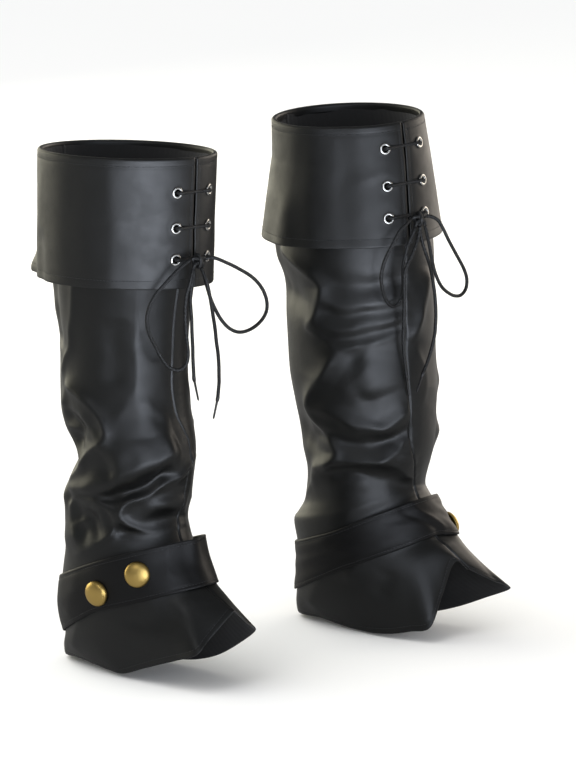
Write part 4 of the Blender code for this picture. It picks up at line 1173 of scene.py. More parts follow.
def turned_seat(name, sunk=0.0):
    """Where a round piece meets the cloth's face, and its axis, in its boot's directions."""
    points, middle, axes = own_axes(name)
    axis = axes[2] * np.sign(axes[2] @ ((middle - (0, HEEL, middle[2])) * (1, 1, 0)))
    return middle + axis * (((points - middle) @ axis).min() + sunk), axis


def eyelet_node(boot, word, k):
    return "eyelet_%s%d_%s" % (word, k, boot)


eyelet_seats = {key: turned_seat(eyelet_node(*key), BARREL) for key in EYELETS}


def cuff_profile(boot):
    """The cuff's cut line from its hem up, over the rim and down inside: up, out, thickness."""
    cuff = CUFFS[boot]
    wall = stations(cuff["rim"] - RIM_ROLL - cuff["hem"], CUFF_STEP)
    rows = [(cuff["hem"] + d, 0.0, CUFF_WALL) for d in wall]
    for turn in np.linspace(0, pi, ROLL_POINTS)[1:]:
        up = cuff["rim"] - RIM_ROLL + RIM_ROLL * sin(turn)
        rows.append((up, RIM_ROLL * (cos(turn) - 1), CUFF_WALL - (CUFF_WALL - FLAP_WALL) * turn / pi))
    for drop in np.linspace(0, RIM_FLAP, FLAP_POINTS)[1:]:
        rows.append((cuff["rim"] - RIM_ROLL - drop, -2 * RIM_ROLL, FLAP_WALL))
    return np.array(rows)


def cut_eyelet_holes(obj, boot):
    """Cuts the round holes through the cuff, all by one set of pins."""
    pins = []
    inwards, outwards = PIN_REACH
    for key, (seat, axis) in eyelet_seats.items():
        if key[0] == boot:
            line = np.linspace(seat - inwards * axis, seat + outwards * axis, 3)
            pins.append(tube("pin", placed(boot, line), HOLE_RADIUS * MM, PIN_SIDES))
    pin = joined("pins", pins)
    cut = obj.modifiers.new("holes", "BOOLEAN")
    cut.operation = "DIFFERENCE"
    cut.solver = "EXACT"
    cut.object = pin
    bpy.context.view_layer.objects.active = obj
    bpy.ops.object.modifier_apply(modifier=cut.name)
    bpy.data.objects.remove(pin, do_unlink=True)


def make_cuff(boot):
    profile = cuff_profile(boot)
    around = 2 * pi * CUFF_REACH
    gap = degrees(0.5 * CUFF_SLIT / CUFF_REACH)
    share = stations(around, CUFF_STEP) / around
    up = np.broadcast_to(profile[:, :1], (len(profile), len(share)))
    out = np.broadcast_to(profile[:, 1:2], up.shape)
    thick = np.broadcast_to(profile[:, 2:], up.shape)
    angle = slit_angle(boot, up) + gap + (360 - 2 * gap) * share[None]
    sheet, level = cuff_point(boot, angle, up, out)
    cuff = CUFFS[boot]
    across = run_across(sheet)
    to_slit = np.minimum(across, across[:, -1:] - across)
    above_hem = up - cuff["hem"]
    flat_part = out > ON_WALL
    relief = groove(cuff["rim"] - RIM_STITCH - up) + groove(above_hem - CUFF_HEM_STITCH)
    relief += groove(to_slit - SLIT_STITCH)
    height, wide, tall, seed = CUFF_WAVES
    relief += height * value_noise(across / wide, up / tall, seed) * np.clip(above_hem / WAVES_LEAD, 0, 1)
    (depth, reach), (level_to, sharpness) = DENT, DENT_SEAT
    for key, (seat, _) in eyelet_seats.items():
        if key[0] == boot:
            far = np.linalg.norm(sheet - seat, axis=2)
            relief -= depth * (np.exp(-((far / reach) ** 2)) - np.exp(-((far / level_to) ** sharpness)))
    sheet = sheet + level * (relief * flat_part)[..., None]
    normals = sheet_normals(sheet)
    normals = np.where(flat_part[..., None], level, normals)
    name = "cuff_" + STANCE[boot]["word"]
    obj = close_wall(name, boot, sheet, normals, thick)
    width, length, area = flat_sizes(sheet)
    cut_eyelet_holes(obj, boot)
    stands_for(obj, "cuff_cloth", "cuff_" + boot)
    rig.sheet(obj, flat=(width, length), held="folded", area=min(area, width * length),
             rests_on=[legs[boot, "outer"]["piece"], legs[boot, "inner"]["piece"]])
    print(name, len(obj.data.polygons), "faces, cut", round(width, 3), "x", round(length, 3), "m")
    return dict(piece=obj, outer=sheet, normals=normals, profile=profile)


cuffs = {boot: make_cuff(boot) for boot in "rl"}

# %% [markdown]
# ## The ankle straps
#
# A strap of doubled faux leather is caught in the side seams and lies round the ankle. Its
# upper front edge stands a little away from the foot. It is stiffer than the legs, so it
# only has a few soft bends, and it is topstitched along both edges.

# %% Make the straps
STRAP_STEP = 2.2
STRAP_STITCH = 4.0
STRAP_CREASES = {
    "r": ((0.8, 5.0, 1.5, ((24, 140), (30, 112))),
          (-0.7, 6.0, 1.8, ((12, 138), (14, 108))),
          (0.6, 8.0, 1.8, ((104, 96), (118, 60)))),
    "l": ((0.9, 4.5, 1.5, ((-18, 142), (-14, 112))),
          (-0.8, 5.0, 1.8, ((-30, 138), (-26, 110))),
          (0.6, 8.0, 1.8, ((-100, 96), (-112, 60)))),
}
STRAP_WAVES = (0.3, 22.0, 14.0, 8)      # height, size in degrees and down, seed
LEVEL_ROW = 2            # of the solid's grid: it spaces the columns


def make_strap(boot):
    grid = strap_grids[boot]
    ring = np.concatenate([grid, grid[:, :1]], 1)
    wide = np.concatenate([grid[:, -JOIN:], grid, grid[:, :JOIN + 1]], 1)
    level = ring[LEVEL_ROW]
    around = length_of(level)
    spaced = np.append(stations(around, STRAP_STEP, True), around)
    column_places = JOIN + places_along(level, spaced)[:-1]
    middle = grid[:, 0]
    row_places = places_along(middle, stations(length_of(middle), STRAP_STEP))
    sheet = fine_sheet(wide, row_places, column_places)
    normals = sheet_normals(sheet, True)
    turned = np.concatenate([COLUMNS[:-1], 360 - np.array(COLUMNS[:0:-1]), [360]])
    angle = np.interp(column_places - JOIN, np.arange(len(turned)), turned)
    angle = np.broadcast_to(np.where(angle > 180, angle - 360, angle)[None], sheet.shape[:2])
    down = run_down(sheet)
    edge = np.minimum(down, down[-1:] - down)
    relief = stroke_relief(STRAP_CREASES[boot], angle, sheet[..., 2]) + groove(edge - STRAP_STITCH)
    height, wide_by, tall, seed = STRAP_WAVES
    relief += height * value_noise(angle / wide_by, down / tall, seed)
    outer = sheet + normals * relief[..., None]
    name = "strap_" + STANCE[boot]["word"]
    obj = close_wall(name, boot, outer, normals, STRAP_WALL, closed=True)
    width, length, area = flat_sizes(np.concatenate([outer, outer[:, :1]], 1))
    stands_for(obj, "strap_cloth", "strap_" + boot)
    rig.sheet(obj, flat=(width, length), held="stretched", area=min(area, width * length),
             rests_on=[legs[boot, "outer"]["piece"], legs[boot, "inner"]["piece"]])
    print(name, len(obj.data.polygons), "faces, cut", round(width, 3), "x", round(length, 3), "m")
    return dict(piece=obj, outer=outer, normals=normals)


straps = {boot: make_strap(boot) for boot in "rl"}

# %% [markdown]
# ## Stitches
#
# Topstitching is the same short stitch hundreds of times along a line, which is a job for
# Geometry Nodes: the line is resampled at the stitch pitch, a small thread shape is set on
# each point, and it is turned along the line. Two short helpers make any node and any link.

# %% Stitch tree
STITCH_PITCH = 3.4
STITCH_LENGTH = 2.7
THREAD = 0.62


def link(tree, source, target):
    tree.links.new(source, target)


def add(tree, kind, inputs=(), **settings):
    """Adds a node with its settings, and sets or links its inputs."""
    made = tree.nodes.new(kind)
    for name, value in settings.items():
        setattr(made, name, value)
    for socket, value in dict(inputs).items():
        if isinstance(value, bpy.types.NodeSocket):
            tree.links.new(value, made.inputs[socket])
        else:
            made.inputs[socket].default_value = value
    return made


def new_tree(name, inputs):
    """A geometry tree with named inputs; returns it with its input node."""
    tree = bpy.data.node_groups.new(name, "GeometryNodeTree")
    tree.interface.new_socket("Geometry", in_out="INPUT", socket_type="NodeSocketGeometry")
    for title, kind in inputs:
        tree.interface.new_socket(title, in_out="INPUT", socket_type=kind)
    tree.interface.new_socket("Geometry", in_out="OUTPUT", socket_type="NodeSocketGeometry")
    return tree, tree.nodes.new("NodeGroupInput")


def stitch_tree():
    tree, given = new_tree("stitches", [
        ("Pitch", "NodeSocketFloat"), ("Stitch length", "NodeSocketFloat"),
        ("Thread", "NodeSocketFloat"), ("Finish", "NodeSocketMaterial")])
    line = add(tree, "GeometryNodeMeshToCurve", {"Mesh": given.outputs["Geometry"]})
    spaced = add(tree, "GeometryNodeResampleCurve", {
        "Curve": line.outputs[0], "Length": given.outputs["Pitch"]}, mode="LENGTH")
    # one unit across, so that its scale is the stitch's own size
    bead = add(tree, "GeometryNodeMeshUVSphere", {"Segments": 6, "Rings": 5, "Radius": 0.5})
    size = add(tree, "ShaderNodeCombineXYZ", {
        "X": given.outputs["Thread"], "Y": given.outputs["Thread"], "Z": given.outputs["Stitch length"]})
    along = add(tree, "GeometryNodeInputTangent")
    turned = add(tree, "FunctionNodeAlignRotationToVector", {"Vector": along.outputs[0]}, axis="Z")
    placed_on = add(tree, "GeometryNodeInstanceOnPoints", {
        "Points": spaced.outputs[0], "Instance": bead.outputs[0],
        "Rotation": turned.outputs[0], "Scale": size.outputs[0]})
    real = add(tree, "GeometryNodeRealizeInstances", {"Geometry": placed_on.outputs[0]})
    smooth = add(tree, "GeometryNodeSetShadeSmooth", {"Geometry": real.outputs[0]})
    done = add(tree, "GeometryNodeSetMaterial", {
        "Geometry": smooth.outputs[0], "Material": given.outputs["Finish"]})
    add(tree, "NodeGroupOutput", {0: done.outputs[0]})
    return tree


def grown(name, points, edges, tree, values):
    """Runs a geometry tree on loose points or lines and keeps the result as a plain mesh."""
    mesh = bpy.data.meshes.new(name + "_lines")
    mesh.from_pydata(np.asarray(points).tolist(), edges, [])
    carrier = bpy.data.objects.new(name + "_lines", mesh)
    bpy.context.scene.collection.objects.link(carrier)
    grow = carrier.modifiers.new("grow", "NODES")
    grow.node_group = tree
    for socket in tree.interface.items_tree:
        if socket.in_out == "INPUT" and socket.name in values:
            grow[socket.identifier] = values[socket.name]
    carrier.update_tag()
    bpy.context.view_layer.update()
    result = carrier.evaluated_get(bpy.context.evaluated_depsgraph_get())
    plain = bpy.data.meshes.new_from_object(result)
    bpy.data.objects.remove(carrier, do_unlink=True)
    obj = bpy.data.objects.new(name, plain)
    plain.name = name
    bpy.context.scene.collection.objects.link(obj)
    return obj


print("stitch pitch", STITCH_PITCH, "mm")

# %% [markdown]
# ### Where the stitches run
#
# Every line is read off the finished cloth at a set distance from an edge, so that the
# thread lies in the groove that was pressed there.

# %% Stitch lines and stitches
THREAD_LIFT = 0.12       # the thread's middle lies this far over the coat
RIM_LINE_END = 3.0       # lines stop short of an edge by these
SLIT_LINE_END = 5.0
HEM_LINE_END = 1.5


def row_at(sheet, distance, from_end=False):
    """A line across a sheet at a distance from its first (or last) row."""
    down = run_down(sheet)
    if from_end:
        down = (down[-1:] - down)[::-1]
        sheet = sheet[::-1]
    index = np.argmax(down >= distance, axis=0)
    before = np.take_along_axis(down, index[None] - 1, 0)[0]
    after = np.take_along_axis(down, index[None], 0)[0]
    share = ((distance - before) / np.maximum(after - before, 1e-9))[:, None]
    columns = np.arange(sheet.shape[1])
    return sheet[index - 1, columns] * (1 - share) + sheet[index, columns] * share


def trimmed(line, start, end):
    """A line without its first and last millimetres."""
    run = run_along(line)
    at = np.linspace(start, run[-1] - end, len(line))
    return np.stack([np.interp(at, run, line[:, k]) for k in range(3)], 1)


def thread_face(cloth):
    return cloth["outer"] + THREAD_LIFT * cloth["normals"]


def stitch_lines(boot):
    face = thread_face(cuffs[boot])[cuffs[boot]["profile"][:, 1] > ON_WALL]
    sides = np.swapaxes(face, 0, 1)
    lines = [trimmed(row_at(face, RIM_STITCH - RIM_ROLL, True), RIM_LINE_END, RIM_LINE_END),
             trimmed(row_at(face, CUFF_HEM_STITCH), SLIT_STITCH, SLIT_STITCH)]
    for from_end in (False, True):
        lines.append(trimmed(row_at(sides, SLIT_STITCH, from_end), CUFF_HEM_STITCH, SLIT_LINE_END))
    band = thread_face(straps[boot])
    band = np.concatenate([band, band[:, :1]], 1)
    lines += [row_at(band, STRAP_STITCH), row_at(band, STRAP_STITCH, True)]
    for word in ("outer", "inner"):
        hem = row_at(thread_face(legs[boot, word]), HEM_STITCH, True)
        lines.append(trimmed(hem, HEM_LINE_END, HEM_LINE_END))
    return lines


def make_stitches(boot, finish):
    points, edges = [], []
    for line in stitch_lines(boot):
        first = len(points)
        points += list(placed(boot, line))
        edges += [(k, k + 1) for k in range(first, len(points) - 1)]
    obj = grown("stitches_" + STANCE[boot]["word"], points, edges, stitch_tree(), {
        "Pitch": STITCH_PITCH * MM, "Stitch length": STITCH_LENGTH * MM, "Thread": THREAD * MM,
        "Finish": finish})
    print(obj.name, len(obj.data.polygons), "faces")
    return obj


# %% [markdown]
# ## Colour and shader helpers
#
# Colours are written as the eye reads them and turned into the linear values that light
# needs, always by the same function. A shader's plain inputs are given together, and its
# roughness can vary softly from patch to patch, as nothing real is evenly glossy.

# %% Shader helpers
MOST_NOISE = (0.3, 0.7)  # nearly all of a noise's values lie between these


def linear(code):
    """A colour written as six hex digits, as linear red, green, blue and alpha."""
    parts = [int(code[k:k + 2], 16) / 255 for k in (0, 2, 4)]
    return tuple([p / 12.92 if p <= 0.04045 else ((p + 0.055) / 1.055) ** 2.4 for p in parts] + [1.0])


def new_material(name, inputs):
    """A material whose shader has the inputs given; returns it with its tree and its shader."""
    material = bpy.data.materials.new(name)
    material.use_nodes = True
    tree = material.node_tree
    tree.nodes.clear()
    shader = add(tree, "ShaderNodeBsdfPrincipled", inputs)
    add(tree, "ShaderNodeOutputMaterial", {"Surface": shader.outputs["BSDF"]})
    return material, tree, shader


def per_mm(size):
    """Texture scale whose features are about so many millimetres across."""
    return 1.0 / (size * MM)


def vary_gloss(tree, shader, size, low, high, detail, roughness=0.55):
    """Lets the shader's roughness vary from patch to patch; returns the place it is read at."""
    place = add(tree, "ShaderNodeTexCoord").outputs["Object"]
    patches = add(tree, "ShaderNodeTexNoise", {
        "Vector": place, "Scale": per_mm(size), "Detail": detail, "Roughness": roughness})
    gloss = add(tree, "ShaderNodeMapRange", {
        "Value": patches.outputs["Fac"], "From Min": MOST_NOISE[0], "From Max": MOST_NOISE[1],
        "To Min": low, "To Max": high})
    link(tree, gloss.outputs["Result"], shader.inputs["Roughness"])
    return place


print("mid grey is", round(linear("808080")[0], 3), "in linear light")

# %% [markdown]
# ### Black faux leather
#
# A knitted back is coated with black polyurethane and pressed with a fine grain. It shines
# like soft leather: a broad, slightly blurred highlight, with a grain that is only seen in
# the highlight. No coat shines evenly, so its roughness varies a little from patch to patch.

# %% Faux leather
COAT_IOR = 1.46          # polyurethane
COAT_PATCH = 26.0        # size of the patches
GRAIN = 0.9              # size of the grain's cells
GRAIN_DEPTH = 0.12
WAVE = 9.0               # size of the coat's shallow waves
WAVE_DEPTH = 0.5


def faux_leather(name, colour, gloss, spread, shine):
    """Coated fabric: colour from its pigment, gloss as the roughness of its coat."""
    material, tree, shader = new_material("black polyurethane faux leather, " + name, {
        "Base Color": linear(colour), "IOR": COAT_IOR, "Specular IOR Level": shine})
    place = vary_gloss(tree, shader, COAT_PATCH, gloss - spread, gloss + spread, 6.0, 0.65)
    # the pressed grain: small cells with soft valleys between them
    cells = add(tree, "ShaderNodeTexVoronoi", {"Vector": place, "Scale": per_mm(GRAIN)}, feature="SMOOTH_F1")
    fine = add(tree, "ShaderNodeBump", {
        "Height": cells.outputs["Distance"], "Strength": 0.10, "Distance": GRAIN_DEPTH * MM})
    # the coat is never quite flat
    waves = add(tree, "ShaderNodeTexNoise", {
        "Vector": place, "Scale": per_mm(WAVE), "Detail": 2.0, "Roughness": 0.55})
    soft = add(tree, "ShaderNodeBump", {
        "Height": waves.outputs["Fac"], "Strength": 0.22, "Distance": WAVE_DEPTH * MM,
        "Normal": fine.outputs["Normal"]})
    link(tree, soft.outputs["Normal"], shader.inputs["Normal"])
    return material


leg_leather = faux_leather("leg", "0c0d0d", 0.42, 0.05, 0.5)
cuff_leather = faux_leather("cuff", "0b0c0c", 0.47, 0.07, 0.6)
strap_leather = faux_leather("strap", "0a0a0b", 0.46, 0.05, 0.3)
print("leathers made, first the", leg_leather.name)

# %% [markdown]
# ### Knitted back
#
# The wrong side of faux leather is a thin polyester knit, dark grey-black and quite matte.
# It is seen inside the cuffs and the open hems.

# %% Knitted back
FLUFF = 5.0              # size of the fluff's patches
KNIT_RIB = 5.6577        # from rib to rib
WAVE_TURN = 2 * pi / 20  # the wave texture's own length, at scale 1
RIB_DEPTH = 0.2


def knit():
    material, tree, shader = new_material("black polyester knit", {
        "Roughness": 0.85, "Sheen Weight": 0.25, "Sheen Roughness": 0.5})
    place = add(tree, "ShaderNodeUVMap", uv_map="cloth").outputs["UV"]
    fluff = add(tree, "ShaderNodeTexNoise", {
        "Vector": place, "Scale": per_mm(FLUFF), "Detail": 4.0, "Roughness": 0.55})
    shade = add(tree, "ShaderNodeMix", {
        "Factor": fluff.outputs["Fac"], "A": linear("0b0b0c"), "B": linear("151516")}, data_type="RGBA")
    link(tree, shade.outputs["Result"], shader.inputs["Base Color"])
    # The real columns of loops are about 1 mm apart, too fine to show, so they are drawn as
    # coarse as they need to be seen.
    ribs = add(tree, "ShaderNodeTexWave", {
        "Vector": place, "Scale": WAVE_TURN * per_mm(KNIT_RIB), "Distortion": 1.5, "Detail": 1.0})
    bump = add(tree, "ShaderNodeBump", {
        "Height": ribs.outputs["Fac"], "Strength": 0.3, "Distance": RIB_DEPTH * MM})
    link(tree, bump.outputs["Normal"], shader.inputs["Normal"])
    return material


lining = knit()
print("made", lining.name)

# %% [markdown]
# ### Metal, lace and thread
#
# The studs are brass-plated domes with a satin finish. The eyelets are nickel-plated rings
# that shine more. The lace is a round braid of black polyester, and its tips are black
# plastic film. The thread is black bonded polyester, with a slight shine.

# %% Metals, lace, tips and thread
BRAID_ROUND = 4          # ridges round the lace
BRAID_PITCH = 4.5        # a strand goes round once in this length
BRAID_DEPTH = 0.25


def plated(name, colour, gloss, size):
    material, tree, shader = new_material(name, {"Base Color": linear(colour), "Metallic": 1.0})
    vary_gloss(tree, shader, size, gloss - 0.04, gloss + 0.06, 4.0)
    return material


def braid():
    """Two sets of ridges that wind round the lace in opposite directions, with painted shade in the valleys between
    them.
    """
    material, tree, shader = new_material("black polyester braid", {"Roughness": 0.6})
    uv = add(tree, "ShaderNodeUVMap", uv_map="cloth").outputs["UV"]
    parts = add(tree, "ShaderNodeSeparateXYZ", {"Vector": uv})
    around = add(tree, "ShaderNodeMath", {0: parts.outputs["X"], 1: 2 * pi * BRAID_ROUND},
                 operation="MULTIPLY")
    along = add(tree, "ShaderNodeMath", {0: parts.outputs["Y"], 1: 2 * pi * per_mm(BRAID_PITCH)},
                operation="MULTIPLY")
    total = add(tree, "ShaderNodeMath", {0: around.outputs[0], 1: along.outputs[0]}, operation="ADD")
    away = add(tree, "ShaderNodeMath", {0: around.outputs[0], 1: along.outputs[0]}, operation="SUBTRACT")
    one = add(tree, "ShaderNodeMath", {0: total.outputs[0]}, operation="SINE")
    two = add(tree, "ShaderNodeMath", {0: away.outputs[0]}, operation="SINE")
    plait = add(tree, "ShaderNodeMath", {0: one.outputs[0], 1: two.outputs[0]}, operation="MAXIMUM")
    rise = add(tree, "ShaderNodeMapRange", {"Value": plait.outputs[0], "From Min": -0.6})
    # painted shade: the valleys between the strands are coloured darker than the ridges
    shade = add(tree, "ShaderNodeMix", {
        "Factor": rise.outputs["Result"], "A": linear("040405"), "B": linear("121314")}, data_type="RGBA")
    link(tree, shade.outputs["Result"], shader.inputs["Base Color"])
    bump = add(tree, "ShaderNodeBump", {
        "Height": plait.outputs[0], "Strength": 0.6, "Distance": BRAID_DEPTH * MM})
    link(tree, bump.outputs["Normal"], shader.inputs["Normal"])
    return material


def matt(name, colour, gloss, size):
    material, tree, shader = new_material(name, {"Base Color": linear(colour)})
    vary_gloss(tree, shader, size, gloss - 0.05, gloss + 0.05, 3.0)
    return material


brass = plated("satin brass plate", "d0b169", 0.36, 6.0)
nickel = plated("nickel plate", "c9c8c4", 0.2, 3.0)
lace_braid = braid()
tip_film = matt("black acetate tip", "0c0c0e", 0.38, 2.0)
# the cut edges are light grey: partly the edge's own colour, partly a painted highlight along every edge
cut_edge_and_highlight = matt("cut edge of coated knit with painted highlight", "3a3a3a", 0.7, 1.2)
thread = matt("black bonded polyester thread", "242527", 0.5, 1.5)
print("materials", len(bpy.data.materials))

# %% [markdown]
# ## Studs and eyelets
#
# A stud is a shallow brass dome pressed from sheet, with a narrow flat foot where it meets
# the strap. An eyelet is a rolled ring with its barrel through the cuff. Both are turned
# shapes, so each is spun from a short profile.

# %% Turned shapes
STUD_PROFILE = (          # radius, height
    (12.9, 0.0), (13.0, 0.9), (12.95, 1.7), (12.6, 2.8), (11.9, 3.8), (10.8, 4.7), (9.2, 5.5),
    (7.2, 6.1), (5.0, 6.6), (2.4, 6.9), (0.0, 7.0))
EYELET_PROFILE = (
    (3.5, -0.2), (5.3, -0.2), (5.85, 0.05), (5.9, 0.4), (5.6, 0.85), (5.0, 1.15), (4.3, 1.2),
    (3.6, 1.0), (3.1, 0.5), (2.85, -0.1), (2.8, -1.6), (3.3, -2.2), (3.5, -1.6))
EYELET_LIFT = 0.3        # the ring stands on the cloth's face, not in it
TURNED_SIDES = 48
TURNED_WELD = 0.002
SHARP_EDGE = 50          # edges are shown sharp from this angle on


def spun(profile, centre, axis, sides=TURNED_SIDES, closed=False):
    """Points and faces of a profile turned round an axis; closed profiles make rings."""
    first = unit(np.cross(axis, OFF_AXIS))
    second = np.cross(axis, first)
    turn = np.linspace(0, 2 * pi, sides, endpoint=False)
    arm = first[None] * np.cos(turn)[:, None] + second[None] * np.sin(turn)[:, None]
    radius, height = np.array(profile).T
    points = centre + arm[None] * radius[:, None, None] + (axis * height[:, None])[:, None]
    rows = len(profile)
    faces = [list(f) for f in grid_faces(rows, sides, 0, True)]
    if closed:
        faces += [[(rows - 1) * sides + k, (rows - 1) * sides + (k + 1) % sides, (k + 1) % sides, k]
                  for k in range(sides)]
    else:
        faces.append(list(range(sides)))
    return points.reshape(-1, 3), faces


def turned_piece(name, boot, profile, seats, closed):
    """One piece from the same profile at several seats."""
    points, faces = [], []
    for centre, axis in seats:
        more, those = spun(profile, centre, axis, closed=closed)
        faces += [[index + len(points) for index in face] for face in those]
        points += list(more)
    return mended(new_piece(name, placed(boot, points), faces, sharp=SHARP_EDGE), TURNED_WELD)


for boot in "rl":
    for word in ("front", "back"):
        node = "stud_%s_%s" % (word, boot)
        seat = turned_seat(node)
        stud = turned_piece("stud_%s_%s" % (word, STANCE[boot]["word"]), boot, STUD_PROFILE, [seat], False)
        stud.data.materials.append(brass)
        stands_for(stud, "stud_metal", node)
    mine = [key for key in EYELETS if key[0] == boot]
    seats = [(seat + EYELET_LIFT * axis, axis) for seat, axis in map(eyelet_seats.get, mine)]
    rings = turned_piece("eyelets_" + STANCE[boot]["word"], boot, EYELET_PROFILE, seats, True)
    rings.data.materials.append(nickel)
    stands_for(rings, "eyelet_metal", *[eyelet_node(*key) for key in mine])
    print("studs 2, eyelets", len(seats), "on the", STANCE[boot]["word"], "boot")

# %% [markdown]
# ## Crossings
#
# Between a pair of eyelets the lace runs straight across the slit, dips through both holes
# and is pulled tight from behind.

# %% Lace crossings
BAR_RISE = (              # from an eyelet: along, out
    (0.0, -1.9), (0.1, 0.9), (1.3, 2.9), (3.4, 3.8), (7.5, 3.7), (15.0, 2.9), (24.0, 2.5))
BAR_STEP = 1.2


def make_bar(boot, k):
    """The lace between a pair of eyelets."""
    ends = [eyelet_seats[boot, word, k] for word in ("out", "in")]
    (a, axis_a), (b, axis_b) = ends
    across = unit(b - a)
    route = [a + axis_a * out + across * along for along, out in BAR_RISE]
    route += [b + axis_b * out - across * along for along, out in BAR_RISE[::-1]]
    line = placed(boot, evenly(route, BAR_STEP))
    return tube("lace_bar%d_%s" % (k, STANCE[boot]["word"]), line, 0.5 * CORD * MM)


for boot in "rl":
    for k in (1, 2, 3):
        bar = make_bar(boot, k)
        bar.data.materials.append(lace_braid)
        stands_for(bar, "lace_cord", "lace_bar%d_%s" % (k, boot))
print("crossings made")

# %% [markdown]
# ## Dressing the pieces
#
# Each piece gets its material, and a wall has three: its face, its back and its cut edges, whose light grey is partly
# their own colour and partly a painted highlight.
# The stitches are grown last, because their tree is given the thread's material.

# %% Materials on the pieces
for boot in "rl":
    finishes = [(legs[boot, "outer"], leg_leather, lining), (legs[boot, "inner"], leg_leather, lining),
                (cuffs[boot], cuff_leather, lining), (straps[boot], strap_leather, strap_leather)]
    for cloth, face, back in finishes:
        for material in (face, back, cut_edge_and_highlight):
            cloth["piece"].data.materials.append(material)
    knots[boot].data.materials.append(lace_braid)
for lace in laces.values():
    lace["piece"].data.materials.append(lace_braid)
for tip in tips.values():
    tip.data.materials.append(tip_film)
for boot in "rl":
    stitches = make_stitches(boot, thread)
    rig.ride(stitches, "root")
    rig.slot(stitches, "leg_cloth")
print("dressed", len([o for o in bpy.data.objects if o.type == "MESH"]), "meshes")

# %% [markdown]
# ## Floor
#
# The covers stand on a plain pale floor. Round glossy black leather a photographer lays dark
# cards, to keep the white floor out of its reflections. Here the floor is simply a darker
# grey to reflections and stays white paper to the eye. Reflections also see a bright pool of
# light on it, in front on the left, and that gives the long highlights down the folds.

# %% Floor
FLOOR_SIZE = 30.0
FLOOR_DROP = 0.6         # the floor lies this far under the hems
FIBRE = 3.0
CARD = "a0a0a0"          # the floor in reflections
# a painted pool of light: a glow on the floor, where no lamp is, that only reflections see
POOL = ((-1.08, -1.68, FLOOR * MM), 1.4, 11.0)    # centre, radius, brightness
POOL_CORE = 0.4          # share of the radius that is evenly bright
COOL_WHITE = "e6eefc"      # colour of the light from the front


def reflected_floor(tree):
    """What reflections see: dark card with a pool of light painted on it as a glow."""
    centre, radius, brightness = POOL
    place = add(tree, "ShaderNodeTexCoord").outputs["Object"]
    far = add(tree, "ShaderNodeVectorMath", {0: place, 1: centre}, operation="DISTANCE")
    fall = add(tree, "ShaderNodeMapRange", {
        "Value": far.outputs["Value"], "From Min": POOL_CORE * radius, "From Max": radius,
        "To Min": brightness, "To Max": 0.0})
    pool = add(tree, "ShaderNodeEmission", {
        "Color": linear(COOL_WHITE), "Strength": fall.outputs["Result"]})
    dark = add(tree, "ShaderNodeBsdfDiffuse", {"Color": linear(CARD)})
    return add(tree, "ShaderNodeAddShader", {0: dark.outputs["BSDF"], 1: pool.outputs["Emission"]})


def floor_paper():
    material, tree, shader = new_material("matte white paper", {
        "Base Color": linear("fbfbfa"), "Roughness": 0.9})
    place = add(tree, "ShaderNodeTexCoord").outputs["Object"]
    fibre = add(tree, "ShaderNodeTexNoise", {
        "Vector": place, "Scale": per_mm(FIBRE), "Detail": 3.0, "Roughness": 0.55})
    bump = add(tree, "ShaderNodeBump", {
        "Height": fibre.outputs["Fac"], "Strength": 0.05, "Distance": 0.1 * MM})
    link(tree, bump.outputs["Normal"], shader.inputs["Normal"])
    ray = add(tree, "ShaderNodeLightPath")
    seen = add(tree, "ShaderNodeMixShader", {
        0: ray.outputs["Is Glossy Ray"], 1: shader.outputs["BSDF"],
        2: reflected_floor(tree).outputs["Shader"]})
    link(tree, seen.outputs["Shader"], tree.nodes["Material Output"].inputs["Surface"])
    return material


corners = [(x * FLOOR_SIZE, y * FLOOR_SIZE, (FLOOR - FLOOR_DROP) * MM)
           for x, y in ((-1, -1), (1, -1), (1, 1), (-1, 1))]
floor = new_piece("floor", corners, [[0, 1, 2, 3]])
floor.data.materials.append(floor_paper())
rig.stage(floor)
print("floor at", round(FLOOR - FLOOR_DROP, 1), "mm")

# %% [markdown]
# ## Light and background
#
# The light is soft studio light. A low box in front on the left and a small high one light
# the side that is seen, a box on the right opens the shadows, and a wide one behind lights
# the far edges. A very soft light from above stands for the ceiling. The background is
# nearly white to the eye and dim in reflections.

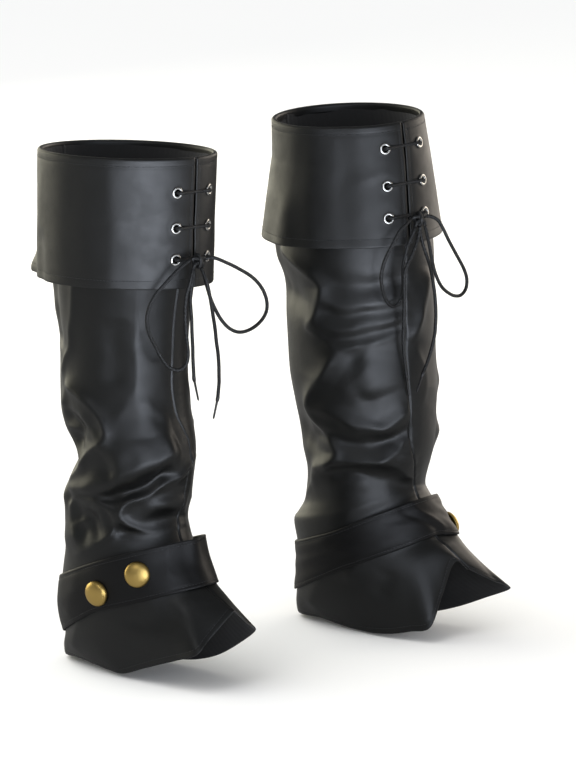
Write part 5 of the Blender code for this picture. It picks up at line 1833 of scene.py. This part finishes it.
# %% Lights and world
SOFTBOXES = (             # place, size, brightness, colour
    ((-1.79, -2.65, 0.3), (3.3, 1.5), 2.5, COOL_WHITE),
    ((0.35, 3.0, 0.4), (4.6, 1.8), 2.4, "f5f0d6"),
    ((-3.3, -0.3, 1.9), (1.2, 1.2), 2.0, "ffffff"),
    ((3.0, -0.5, 0.4), (2.8, 1.8), 2.6, "fbefe0"),
)
BOXES_AIM = Vector((0, 0, -0.25))
CEILING = (1.7, 60, (-20, -24))  # brightness, spread and lean in degrees
WORLD = "f4f5f6"
WORLD_GLOW = (0.62, 0.2)  # brightness as light, and in reflections


def new_light(name, kind):
    """A light of a kind, and the object that carries it."""
    lamp = bpy.data.lights.new(name, kind)
    carrier = bpy.data.objects.new(name, lamp)
    bpy.context.scene.collection.objects.link(carrier)
    return lamp, carrier


for place, size, brightness, colour in SOFTBOXES:
    lamp, box = new_light("softbox", "AREA")
    lamp.shape = "RECTANGLE"
    lamp.size, lamp.size_y = size
    lamp.energy = brightness * pi * size[0] * size[1]
    lamp.color = linear(colour)[:3]
    box.location = place
    box.rotation_euler = (BOXES_AIM - Vector(place)).to_track_quat("-Z", "Y").to_euler()
    box.visible_camera = False

ceiling, sky = new_light("ceiling", "SUN")
ceiling.energy, spread, lean = CEILING
ceiling.angle = radians(spread)
sky.rotation_euler = (*map(radians, lean), 0)
sky.visible_glossy = False

world = bpy.data.worlds.new("studio")
world.use_nodes = True
air = world.node_tree
as_light, in_reflections = WORLD_GLOW
way = add(air, "ShaderNodeLightPath")
glow = add(air, "ShaderNodeMapRange", {
    "Value": way.outputs["Is Glossy Ray"], "To Min": as_light, "To Max": in_reflections})
# the camera's own rays are added on top, so the background looks nearly white
strength = add(air, "ShaderNodeMath", {0: glow.outputs["Result"], 1: way.outputs["Is Camera Ray"]},
               operation="ADD")
air.nodes["Background"].inputs["Color"].default_value = linear(WORLD)
link(air, strength.outputs[0], air.nodes["Background"].inputs["Strength"])
bpy.context.scene.world = world
bpy.context.scene.view_settings.view_transform = "Standard"
print("lights", len(SOFTBOXES) + 1)

# %% [markdown]
# ## Size and finish
#
# The box of the finished covers and that of the imported solids are both written to extents.json.
# The finished covers must stay inside the box of the imported solids.

# %% Measure and finish
seen_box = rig.bounds()
with open("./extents.json", "w") as out:
    json.dump({"cad": [list(map(float, side)) for side in cad_box],
               "scene": [list(map(float, side)) for side in seen_box]}, out)
print("box", seen_box)
